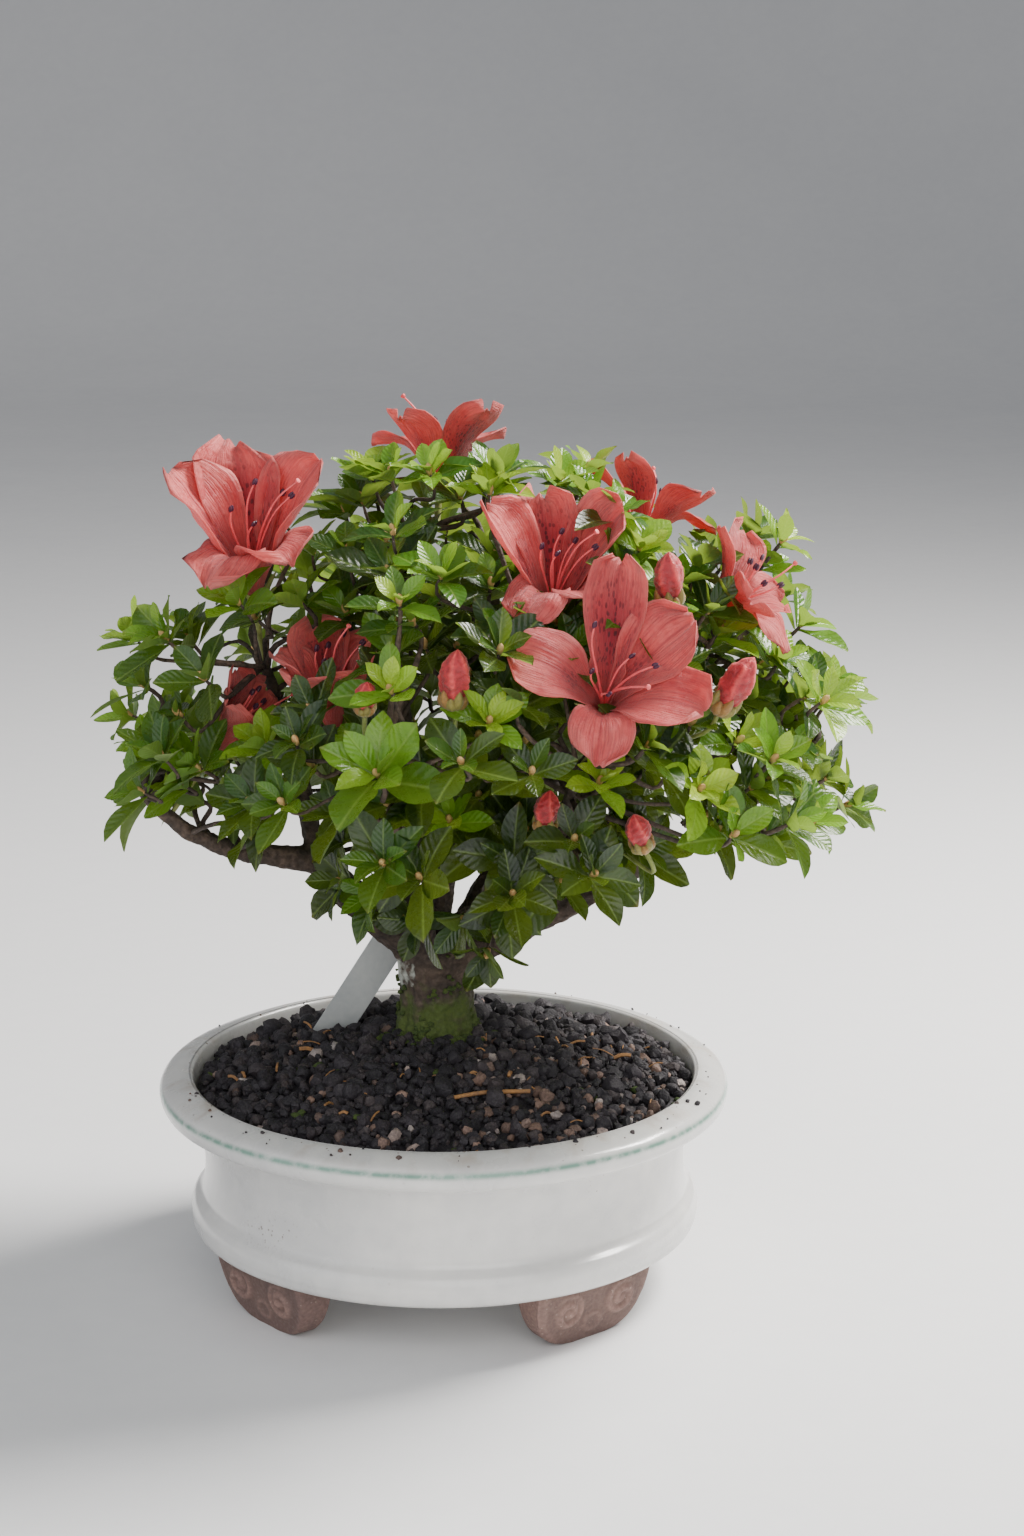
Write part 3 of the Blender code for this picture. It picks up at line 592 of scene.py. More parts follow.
@dataclass(frozen=True)
class GravelFinish:
    """Dark violet-black volcanic gravel with some tan, pink and grey grains."""

    name: str = "volcanic_gravel"
    depth: float = 0.0005

    def build(self, effects: Effects) -> Material:
        """Build the gravel's material.

        Args:
            effects: The shared effects.

        Returns:
            The material.
        """
        made, bench, shader = start_material(self.name)
        tone = bench.attribute("tone")
        colour = bench.ramp(tone, (
            (0.0, (0.010, 0.008, 0.011)), (0.45, (0.024, 0.019, 0.024)), (0.72, (0.060, 0.045, 0.043)),
            (0.82, (0.14, 0.085, 0.060)), (0.91, (0.26, 0.17, 0.13)), (1.0, (0.33, 0.30, 0.28)),
        ))
        shade = effects.drift(bench, (1.25, 1.2, 1.2), (0.55, 0.55, 0.6), 240.0, 1500.0, 0.5)
        colour = bench.mix(1.0, colour, shade.outputs[0], "MULTIPLY")
        bench.dress(shader, colour, bench.span(shade.outputs["Mask"], 0.0, 1.0, 0.55, 0.9),
                    bench.bump(shade.outputs["Height"], 0.9, self.depth))
        bench.fix(shader, Specular_IOR_Level=0.55)
        return made


@dataclass(frozen=True)
class BarkFinish:
    """Grey-brown bark with green moss low on the trunk and pale lichen."""

    light: Colour = (0.150, 0.100, 0.072)
    dark: Colour = (0.026, 0.018, 0.014)
    moss: Colour = (0.030, 0.052, 0.010)
    lichen: Colour = (0.50, 0.52, 0.46)

    def build(self, effects: Effects) -> Material:
        """Build the bark's material.

        Args:
            effects: The shared effects.

        Returns:
            The material.
        """
        made, bench, shader = start_material("mossy_bark")
        tone = effects.drift(bench, self.dark, self.light, 150.0, 700.0, 0.5)
        ridge = bench.attribute("ridge")
        colour = bench.mix(bench.span(ridge, 0.2, 0.9), self.dark, tone.outputs[0])
        patchy = bench.plus(bench.attribute("mossy"),
                            bench.times(bench.cloud(170.0, 6.0), 1.2))
        green = bench.span(patchy, 1.22, 1.50)
        fleck = bench.mix(bench.cloud(900.0, 3.0), self.moss, (0.085, 0.115, 0.018))
        colour = bench.mix(green, colour, fleck)
        pale = bench.plus(bench.attribute("lichen"), bench.cloud(280.0, 5.0))
        colour = bench.mix(bench.times(bench.span(pale, 1.12, 1.3), 0.8), colour, self.lichen)
        grooved = bench.plus(bench.cells(420.0), bench.times(tone.outputs["Height"], 1.2))
        bench.dress(shader, colour, bench.span(tone.outputs["Height"], 0.3, 0.7, 0.95, 0.75),
                    bench.bump(grooved, 0.8, 0.0007))
        return made


@dataclass(frozen=True)
class LeafFinish:
    """Azalea leaves, deep glossy green when old and in painted shade, yellow-green when new and in painted
    light.
    """

    name: str = "azalea_leaf"
    glow: float = 0.30

    def build(self, effects: Effects) -> Material:
        """Build the leaves' material.

        Args:
            effects: The shared effects.

        Returns:
            The material.
        """
        made, bench, shader = start_material(self.name)
        tone = bench.attribute("tone")
        # The tone holds leaf age and also painted light and shade: lit whorls get high tones, shaded and
        # inner ones low.
        blade = bench.ramp(tone, (
            (0.0, (0.004, 0.013, 0.005)), (0.30, (0.009, 0.034, 0.007)), (0.55, (0.032, 0.105, 0.009)),
            (0.78, (0.145, 0.32, 0.018)), (1.0, (0.35, 0.50, 0.035)),
        ))
        along = bench.attribute("along")
        veins = bench.group(effects.veins, Along=along, Across=bench.attribute("across"),
                            Count=7.0, Slant=0.30)
        drift = effects.drift(bench, (0.78, 0.80, 0.8), (1.2, 1.16, 1.1), 190.0, 1400.0, 0.35)
        colour = bench.mix(1.0, blade, drift.outputs[0], "MULTIPLY")
        paler = bench.mix(0.35, colour, (0.36, 0.50, 0.12))
        lines = bench.math("MAXIMUM", bench.times(veins.outputs["Rib"], 0.75),
                           bench.times(veins.outputs["Side"], 0.13))
        colour = bench.mix(lines, colour, paler)
        rusty = bench.times(bench.span(along, 0.90, 1.0), bench.span(bench.cloud(60.0), 0.5, 0.62))
        colour = bench.mix(bench.times(rusty, 0.6), colour, (0.20, 0.10, 0.03))
        behind = bench.node("NewGeometry").outputs["Backfacing"]
        under = bench.mix(0.40, colour, (0.17, 0.26, 0.08))
        colour = bench.mix(behind, colour, under)
        sheen = bench.plus(bench.times(drift.outputs["Mask"], 0.14),
                           bench.times(behind, 0.25))
        grain = bench.times(drift.outputs["Height"], 0.9)
        bench.dress(shader, colour, bench.plus(sheen, 0.22),
                    bench.bump(bench.plus(veins.outputs["Height"], grain), 0.34, 0.0003))
        through = bench.mix(0.6, colour, (0.45, 0.65, 0.05))
        add_glow_through(bench, shader, through, self.glow)
        return made


@dataclass(frozen=True)
class PetalFinish:
    """Coral petals, veined, darker in the throat and spotted on the upper lobe."""

    pale: Colour = (0.92, 0.235, 0.205)
    deep: Colour = (0.72, 0.070, 0.072)
    throat: Colour = (0.38, 0.008, 0.028)
    spot: Colour = (0.10, 0.002, 0.012)

    def build(self, effects: Effects) -> Material:
        """Build the petals' material.

        Args:
            effects: The shared effects.

        Returns:
            The material.
        """
        made, bench, shader = start_material("coral_petal")
        along = bench.attribute("along")
        across = bench.attribute("across")
        drift = effects.drift(bench, self.deep, self.pale, 70.0, 520.0, 0.35)
        colour = bench.mix(bench.span(along, 0.30, 0.85, 0.75, 0.12), drift.outputs[0], self.deep)
        fan = bench.combine(bench.times(across, 9.0), bench.times(along, 1.5), bench.attribute("lobe"))
        streak = bench.node("TexNoise")
        bench.feed(fan, streak.inputs["Vector"])
        bench.fix(streak, Scale=2.4, Detail=5.0)
        lines = bench.span(streak.outputs[0], 0.46, 0.64)
        colour = bench.mix(bench.times(lines, 0.38), colour, self.throat)
        middle = bench.span(bench.math("ABSOLUTE", across), 0.0, 0.07, 0.45, 0.0)
        colour = bench.mix(middle, colour, self.throat)
        cup = bench.span(along, 0.18, 0.42, 0.7, 0.0)
        colour = bench.mix(cup, colour, self.deep)
        dots = bench.combine(across, bench.times(along, 2.2))
        spots = bench.span(bench.cells(9.0, dots), 0.28, 0.38, 1.0, 0.0)
        zone = bench.attribute("blotch")
        colour = bench.mix(bench.times(zone, 0.88), colour, self.throat)
        colour = bench.mix(bench.times(spots, zone), colour, self.spot)
        rim = bench.span(bench.attribute("edge"), 0.86, 1.0, 0.0, 0.35)
        colour = bench.mix(rim, colour, self.pale)
        height = bench.plus(bench.times(streak.outputs[0], 2.0), drift.outputs["Height"])
        bench.dress(shader, colour, bench.span(drift.outputs["Mask"], 0.0, 1.0, 0.42, 0.6),
                    bench.bump(height, 0.8, 0.0009))
        bench.fix(shader, Sheen_Weight=0.25, Sheen_Roughness=0.5)
        add_glow_through(bench, shader, bench.mix(0.22, colour, (0.95, 0.22, 0.16)), 0.36)
        return made


@dataclass(frozen=True)
class StalkFinish:
    """Flower stalks: green below, pink filaments, dark anthers."""

    def build(self, effects: Effects) -> Material:
        """Build the stalks' material.

        Args:
            effects: The shared effects.

        Returns:
            The material.
        """
        made, bench, shader = start_material("stalk_and_thread")
        colour = bench.ramp(bench.attribute("tone"), (
            (0.0, (0.17, 0.24, 0.05)), (0.22, (0.30, 0.26, 0.09)), (0.40, (0.66, 0.06, 0.08)),
            (0.70, (0.76, 0.12, 0.12)), (0.86, (0.09, 0.012, 0.04)), (1.0, (0.05, 0.008, 0.03)),
        ))
        drift = effects.drift(bench, (0.8, 0.8, 0.8), (1.2, 1.2, 1.2), 300.0, 2200.0, 0.5)
        bench.dress(shader, bench.mix(1.0, colour, drift.outputs[0], "MULTIPLY"),
                    bench.span(drift.outputs["Mask"], 0.0, 1.0, 0.4, 0.65),
                    bench.bump(drift.outputs["Height"], 0.5, 0.0003))
        return made


@dataclass(frozen=True)
class BudFinish:
    """Closed crimson petals over a green cup, told apart by the tone value; the petals' tone also holds
    painted shade in their folds.
    """

    def build(self, effects: Effects) -> Material:
        """Build the buds' material.

        Args:
            effects: The shared effects.

        Returns:
            The material.
        """
        made, bench, shader = start_material("folded_bud")
        colour = bench.ramp(bench.attribute("tone"), (
            (0.0, (0.16, 0.20, 0.035)), (0.14, (0.28, 0.13, 0.03)), (0.22, (0.20, 0.004, 0.010)),
            (0.62, (0.44, 0.018, 0.026)), (1.0, (0.70, 0.085, 0.075)),
        ))
        drift = effects.drift(bench, (0.7, 0.65, 0.65), (1.25, 1.2, 1.2), 230.0, 1300.0, 0.45)
        bench.dress(shader, bench.mix(1.0, colour, drift.outputs[0], "MULTIPLY"),
                    bench.span(drift.outputs["Mask"], 0.0, 1.0, 0.42, 0.66),
                    bench.bump(drift.outputs["Height"], 0.7, 0.0005))
        bench.fix(shader, Sheen_Weight=0.2)
        return made


@dataclass(frozen=True)
class TonedFinish:
    """A plain material whose colour runs between two tones, for small pieces and litter."""

    name: str
    first: Colour
    second: Colour
    roughness: tuple[float, float] = (0.5, 0.8)
    scale: float = 200.0
    depth: float = 0.0004
    metallic: float = 0.0
    glow: float = 0.0

    def build(self, effects: Effects) -> Material:
        """Build the material.

        Args:
            effects: The shared effects.

        Returns:
            The material.
        """
        made, bench, shader = start_material(self.name)
        drift = effects.drift(bench, self.first, self.second, self.scale, self.scale * 7.0, 0.45)
        bench.dress(shader, drift.outputs[0], bench.span(drift.outputs["Mask"], 0.0, 1.0, *self.roughness),
                    bench.bump(drift.outputs["Height"], 0.6, self.depth))
        bench.fix(shader, Metallic=self.metallic)
        if self.glow:
            add_glow_through(bench, shader, drift.outputs[0], self.glow)
        return made


# ---------------- mesh helpers


class Draft:
    """Points, faces and per-point values of a piece while it is being made."""

    def __init__(self) -> None:
        """Start empty."""
        self.points: list[np.ndarray] = []
        self.faces: list[tuple[int, ...]] = []
        self.values: dict[str, list[np.ndarray]] = {}
        self.count = 0

    def add(self, points: np.ndarray, faces: Iterable[Sequence[int]], **values: object) -> None:
        """Add a shape.

        Args:
            points: Its points, in metres.
            faces: Its faces, as indices into points.
            values: Per-point values, each one number or one per point.
        """
        start = self.count
        points = np.asarray(points, dtype=float)
        self.points.append(points)
        self.faces.extend(tuple(index + start for index in face) for face in faces)
        for name in set(self.values) | set(values):
            column = self.values.setdefault(name, [np.zeros(start)] if start else [])
            given = np.asarray(values.get(name, 0.0), dtype=float)
            column.append(np.broadcast_to(given, (len(points),)).copy())
        self.count += len(points)

    def rod(self, path: Sequence[Vector], radii: Sequence[float], sides: int, **values: object) -> None:
        """Add a closed tube.

        Args:
            path: Points along its middle.
            radii: Its radius at each point, in metres.
            sides: Points round it.
            values: Per-point values.
        """
        self.add(*tube(path, radii, sides), **values)

    def piece(self, name: str, material: Material, sharp: float = SMOOTH) -> Piece:
        """Make the object.

        Args:
            name: The piece's name.
            material: Its material.
            sharp: Edges over this angle, in degrees, stay sharp.

        Returns:
            The new object, linked to the scene.
        """
        mesh = bpy.data.meshes.new(name)
        mesh.from_pydata(np.concatenate(self.points).tolist(), [], self.faces)
        for title, column in self.values.items():
            mark(mesh, title, np.concatenate(column).astype(np.float32))
        mesh.polygons.foreach_set("use_smooth", [True] * len(mesh.polygons))
        mesh.materials.append(material)
        mesh.update()
        if sharp < SMOOTH:
            mesh.set_sharp_from_angle(angle=radians(sharp))
        made = bpy.data.objects.new(name, mesh)
        bpy.context.scene.collection.objects.link(made)
        return made


def mark(mesh: bpy.types.Mesh, title: str, values: Sequence[float]) -> None:
    """Store a number at each point of a mesh."""
    mesh.attributes.new(title, "FLOAT", "POINT").data.foreach_set("value", values)


def spoke(angle: float) -> Vector:
    """A level vector of length one at an angle."""
    return Vector((cos(angle), sin(angle), 0))


def jitter(rng: Random, reach: float) -> Vector:
    """A random vector, each part of it within a reach of nought."""
    return Vector([rng.uniform(-reach, reach) for _ in range(3)])


def stand(spot: Vector, direction: Sequence[float]) -> Matrix:
    """A frame at a place, its Z axis along a direction."""
    turn = Vector(direction).normalized().to_track_quat("Z", "Y").to_matrix().to_4x4()
    return Matrix.Translation(spot) @ turn


def grid_faces(rows: int, columns: int, closed: bool = False) -> list[tuple[int, int, int, int]]:
    """Quads over a grid of points stored row by row.

    Args:
        rows: Number of rows.
        columns: Points in a row.
        closed: Whether each row runs round on itself.

    Returns:
        The faces.
    """
    faces = []
    for row in range(rows - 1):
        for column in range(columns if closed else columns - 1):
            a = row * columns + column
            b = row * columns + (column + 1) % columns
            faces.append((a, b, b + columns, a + columns))
    return faces


def capped_faces(rows: int, columns: int) -> list[tuple[int, ...]]:
    """Quads over rings of points, with a face on each end.

    Args:
        rows: Number of rings.
        columns: Points in a ring.

    Returns:
        The faces.
    """
    last = (rows - 1) * columns
    faces = grid_faces(rows, columns, closed=True)
    return faces + [tuple(reversed(range(columns))), tuple(range(last, last + columns))]


def spline(around: Sequence[Vector], cuts: int) -> list[Vector]:
    """Points on the smooth curve from the second to the third of four.

    Args:
        around: The four points.
        cuts: How many steps are made.

    Returns:
        The points, without the last one.
    """
    p0, p1, p2, p3 = around
    return [0.5 * (2 * p1 + (p2 - p0) * t + (2 * p0 - 5 * p1 + 4 * p2 - p3) * t * t
                   + (3 * p1 - p0 - 3 * p2 + p3) * t**3) for t in (k / cuts for k in range(cuts))]


def smooth_path(points: Sequence[Vector], cuts: int) -> list[Vector]:
    """A smooth curve through points.

    Args:
        points: The points.
        cuts: Steps from one to the next.

    Returns:
        The curve's points.
    """
    path, last = [], len(points) - 1
    for i in range(last):
        path += spline([points[min(max(i + k, 0), last)] for k in (-1, 0, 1, 2)], cuts)
    return path + [points[-1].copy()]


def tube(path: Sequence[Vector], radii: Sequence[float], sides: int) -> tuple[np.ndarray, list]:
    """A closed tube.

    Args:
        path: Points along its middle.
        radii: Its radius at each point, in metres.
        sides: Points round it.

    Returns:
        Points and faces.
    """
    points = []
    side = None
    for i, centre in enumerate(path):
        ahead = (path[min(i + 1, len(path) - 1)] - path[max(i - 1, 0)]).normalized()
        side = ahead.orthogonal() if side is None else side - ahead * side.dot(ahead)
        side.normalize()
        other = ahead.cross(side)
        for k in range(sides):
            angle = tau * k / sides
            points.append(centre + (side * cos(angle) + other * sin(angle)) * radii[i])
    return np.array(points), capped_faces(len(path), sides)


def turned(profile: Sequence[tuple[float, float]], steps: int, centre: Vector) -> tuple[np.ndarray, list]:
    """A closed profile turned about an upright axis.

    Args:
        profile: Radius and height of each point, running down the outer side, in mm.
        steps: Number of steps round.
        centre: The axis, at the floor.

    Returns:
        Points and faces.
    """
    rows = np.array(profile) * MM
    angles = np.arange(steps) * tau / steps
    points = np.empty((len(rows), steps, 3))
    points[..., 0] = centre.x + rows[:, :1] * np.cos(angles)
    points[..., 1] = centre.y + rows[:, :1] * np.sin(angles)
    points[..., 2] = centre.z + rows[:, 1:]
    faces = [tuple(reversed(face)) for face in grid_faces(len(rows), steps, closed=True)]
    last = (len(rows) - 1) * steps
    for k in range(steps):
        j = (k + 1) % steps
        faces.append((k, j, last + j, last + k)[::-1])
    return points.reshape(-1, 3), faces


def rounded(profile: Sequence[tuple[float, float]], cuts: int) -> list[tuple[float, float]]:
    """Make a closed profile smooth.

    Args:
        profile: Its points.
        cuts: Steps from one to the next.

    Returns:
        The smooth profile.
    """
    points = [Vector((r, z, 0.0)) for r, z in profile]
    count = len(points)
    result = []
    for i in range(count):
        around = [points[(i + k) % count] for k in (-1, 0, 1, 2)]
        result += [(spot.x, spot.y) for spot in spline(around, cuts)]
    return result


def pebble(rng: Random, detail: int = 2) -> tuple[np.ndarray, list]:
    """A lumpy stone of about unit radius.

    Args:
        rng: The source of its shape.
        detail: How finely it is cut.

    Returns:
        Points and faces.
    """
    shape = bmesh.new()
    bmesh.ops.create_icosphere(shape, subdivisions=detail, radius=1.0)
    shift = jitter(rng, 50)
    for vertex in shape.verts:
        push = noise(vertex.co * 1.1 + shift) * 0.55 + noise(vertex.co * 2.7 + shift) * 0.25
        vertex.co *= 1.0 + push
    points = np.array([vertex.co[:] for vertex in shape.verts])
    faces = [tuple(v.index for v in face.verts) for face in shape.faces]
    shape.free()
    return points, faces


def hand_in(piece: Piece, slot: Slot, *nodes: str) -> Piece:
    """Attach a piece to the part's body, hide the CAD nodes it stands for and log its slot.

    Args:
        piece: The piece.
        slot: Its finish.
        nodes: The CAD nodes it takes the place of.

    Returns:
        The same piece.
    """
    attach(piece, BODY)
    if nodes:
        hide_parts(*nodes)
    LOG.info("%s, slot %s, in place of %s", piece.name, slot.value, ", ".join(nodes) or "no node")
    return piece


# ---------------- where things are


@dataclass
class Layout:
    """Where the pot's axis, the soil and the tree are, read from the frame."""

    crown_radius: float = 120.0
    tree_height: float = 197.0
    mound_rise: float = 13.5
    trunk_foot: tuple[float, float] = (-2.4, 8.4)
    axis: Vector = field(default_factory=Vector)
    pot_low: Vector = field(default_factory=Vector)
    pot_high: Vector = field(default_factory=Vector)
    soil_top: float = 0.0
    low: Vector = field(default_factory=Vector)
    high: Vector = field(default_factory=Vector)

    def read(self) -> Layout:
        """Fill in the places from the frame's boxes.

        Returns:
            The layout itself.
        """
        self.pot_low, self.pot_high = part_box("pot_body")
        middle = (self.pot_low + self.pot_high) / 2
        self.axis = Vector((middle.x, middle.y, 0.0))
        self.soil_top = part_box("soil")[1].z
        low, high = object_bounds()
        self.low, self.high = Vector(low), Vector(high)
        return self

    def tree(self, x: float, y: float, z: float) -> Vector:
        """A point in percent of the crown's radius and of the tree's height."""
        return self.at(x * self.crown_radius / 100, y * self.crown_radius / 100,
                       self.soil_top / MM + z * self.tree_height / 100)

    def at(self, x: float, y: float, z: float) -> Vector:
        """A point in mm from the pot's axis and the floor."""
        return self.axis + Vector((x, y, z)) * MM

    def polar(self, radius: float, angle: float, z: float = 0.0) -> Vector:
        """A point at a radius in mm and an angle round the pot's axis."""
        return self.at(radius * cos(angle), radius * sin(angle), z)

    def away(self, spot: Vector) -> float:
        """How far a point is from the pot's axis, in mm."""
        return (spot - self.axis).xy.length / MM

    def ground(self, radius: float) -> float:
        """The soil's height.

        Args:
            radius: How far from the axis, in mm.

        Returns:
            The height in metres.
        """
        table = ((0, 0.0), (14, 0.04), (28, 0.22), (46, 0.50), (62, 0.76), (74, 0.96), (79, 1.05))
        drop = np.interp(radius, [row[0] for row in table], [row[1] for row in table])
        return self.soil_top - float(drop) * self.mound_rise * MM


# ---------------- the pot


@dataclass
class GlazedPot:
    """The turned pot with its rolled lip and foot flange."""

    layout: Layout
    steps: int = 240
    rim_radius: float = 90.0
    rim_width: float = 11.0
    wall: float = 6.0
    hole: float = 8.5

    def profile(self) -> list[tuple[float, float]]:
        """The pot's section.

        Returns:
            Radius and height in mm: outer side from the top down, underside, inner side.
        """
        top = self.layout.pot_high.z / MM
        base = self.layout.pot_low.z / MM
        rim, neck, rise = self.rim_radius, self.rim_radius - 12.0, top - base
        inner = rim - self.rim_width
        floor = base + self.wall
        inside = neck - self.wall
        return [
            (inner + 1.6, top), (inner + 3.4, top - 0.05), (inner + 6.0, top - 0.8), (rim - 2.2, top - 2.0),
            (rim - 0.7, top - 3.3), (rim, top - 5.0), (rim - 0.2, top - 7.2), (rim - 1.4, top - 9.2),
            (rim - 4.2, top - 10.6), (neck + 4.0, top - 11.2), (neck + 1.2, top - 12.0), (neck, top - 14.0),
            (neck - 0.8, base + rise * 0.66), (neck - 1.8, base + rise * 0.50),
            (neck - 2.0, base + rise * 0.38), (neck - 1.4, base + 13.0), (neck - 0.3, base + 11.0),
            (neck + 1.5, base + 9.4), (neck + 2.4, base + 7.0), (neck + 2.5, base + 4.4),
            (neck + 1.9, base + 1.8), (neck + 0.6, base + 0.35), (neck - 1.2, base),
            (neck - 8.0, base + 0.02), (40.0, base + 0.02), (self.hole + 3.0, base + 0.02),
            (self.hole + 0.8, base + 0.3), (self.hole, base + 1.4), (self.hole, floor - 0.8),
            (self.hole + 0.6, floor - 0.05), (self.hole + 4.0, floor), (inside - 9.0, floor),
            (inside - 4.0, floor + 0.8), (inside - 1.0, floor + 3.4), (inside, floor + 8.0),
            (inside + 0.5, top - 16.0), (inner - 1.0, top - 9.0), (inner - 0.2, top - 4.0),
            (inner + 0.2, top - 1.3), (inner + 0.7, top - 0.4),
        ]

    def build(self, material: Material) -> Piece:
        """Turn the pot and mark its line, soiled parts and stains.

        Args:
            material: The glaze.

        Returns:
            The pot.
        """
        points, faces = turned(rounded(self.profile(), 4), self.steps, self.layout.axis)
        flat = points - np.array(self.layout.axis)
        radius = np.hypot(flat[:, 0], flat[:, 1])
        angle = np.degrees(np.arctan2(flat[:, 1], flat[:, 0]))
        wobble = np.array([noise(Vector(p) * 24.0) for p in flat])
        above = flat[:, 2] > self.layout.pot_low.z + 0.004
        points[above, :2] += (flat[above, :2] / radius[above, None]) * wobble[above, None] * 0.00045
        top = self.layout.pot_high.z
        edge = np.abs(flat[:, 2] - (top - 0.0042)) + np.abs(radius - (self.rim_radius - 0.1) * MM) * 0.7
        line = np.clip(1.25 - edge / 0.0013, 0.0, 1.0)
        soiled = np.clip((flat[:, 2] - (top - 0.004)) / 0.003, 0.0, 1.0)
        soiled += 0.6 * np.clip(1 - np.abs(flat[:, 2] - self.layout.pot_low.z) / 0.003, 0, 1)
        splash = np.zeros(len(points))
        for centre, height, wide in ((-135.0, 0.0345, 0.007), (-128.0, 0.0365, 0.004),
                                     (-52.0, 0.052, 0.003)):
            away = np.radians(angle - centre) * radius
            splash += np.exp(-((away / wide) ** 2 + ((flat[:, 2] - height) / 0.0035) ** 2))
        draft = Draft()
        draft.add(points, faces, line=line, soiled=np.clip(soiled, 0, 1), splash=np.clip(splash, 0, 1))
        return hand_in(draft.piece("glazed_pot", material), Slot.GLAZE, "pot_body")


@dataclass
class ScrollFoot:
    """One D-shaped clay foot with two rolled scrolls on its outer face."""

    layout: Layout
    corner: str
    angle: float
    width: float = 45.0
    base_width: float = 17.0
    depth: float = 15.0
    height: float = 19.2
    inset: float = 2.5
    neck: float = 78.0
    columns: int = 96
    rows: int = 56

    def half_width(self, share: float) -> float:
        """Half the foot's width in mm at a share of its height."""
        narrow = self.base_width / self.width
        return (narrow + (1 - narrow) * sqrt(max(0.0, 1 - (1 - share) ** 2.3))) * self.width / 2

    def relief(self, x: float, z: float) -> float:
        """How far the face stands proud: two spirals and a beaded border.

        Args:
            x: Across the foot, in mm from its middle.
            z: Height in mm.

        Returns:
            The relief in mm.
        """
        proud = 0.0
        for side in (-1, 1):
            dx, dz = (x - side * self.width * 0.235) * side, z - self.height * 0.60
            r = hypot(dx, dz)
            turn = atan2(dz, dx)
            disc = 1.0 / (1.0 + exp((r - 5.6) / 0.45))
            spiral = cos(turn + r * 1.75)
            proud += disc * (0.95 + 0.62 * spiral * min(1.0, r / 1.2))
        r = hypot(x, (z - self.height * 0.30) * 1.2)
        proud += 0.55 * exp(-((r - 3.2) / 1.0) ** 2)
        share = z / self.height
        inward = 1.0 - abs(x) / max(self.half_width(share), 0.1)
        proud += 0.5 * exp(-((inward - 0.09) / 0.05) ** 2) * min(1.0, share * 6)
        return proud

    def build(self, material: Material) -> Piece:
        """Shape the foot and mark where shade is painted on it.

        Args:
            material: The clay.

        Returns:
            The foot.
        """
        points, hollow = [], []
        for row in range(self.rows):
            share = row / (self.rows - 1)
            half = self.half_width(share)
            lean = (1 - share) * 4.5
            back = self.depth - lean * 0.4
            for k in range(self.columns):
                u = k / self.columns
                if u < 0.5:
                    s = -1 + 4 * u
                    corner = 1 - abs(s) ** 14
                    x = s * half
                    z = share * self.height
                    lift = self.relief(x, z) if 0.02 < share < 0.98 else 0.0
                    y = lean + 2.5 - 1.3 * corner - lift * corner
                    # Painted shade value: strongest in the recessed ground between the scrolls, none on the
                    # raised relief.
                    hollow.append(max(0.0, min(1.0, 1.15 - lift * 1.25)) * corner)
                else:
                    s = 3 - 4 * u
                    x = s * half
                    y = back - 1.5 * abs(s) ** 14
                    # A little painted shade on the inner face, under the pot.
                    hollow.append(0.2)
                rough = noise(Vector((x, y, share * 19)) * 0.35 + Vector((self.angle, 0, 0))) * 0.22
                points.append((x, max(y, -0.35) + rough * 0.6, share * self.height))
        turn = radians(self.angle)
        reach = self.neck - self.inset
        place = Matrix.Translation(self.layout.polar(reach, turn))
        place = place @ Matrix.Rotation(turn + pi / 2, 4, "Z")
        spots = np.array([place @ (Vector(point) * MM) for point in points])
        draft = Draft()
        draft.add(spots, capped_faces(self.rows, self.columns), hollow=np.array(hollow))
        piece = draft.piece("clay_foot_" + self.corner, material, 50)
        return hand_in(piece, Slot.CLAY, "foot_" + self.corner)


# ---------------- the soil


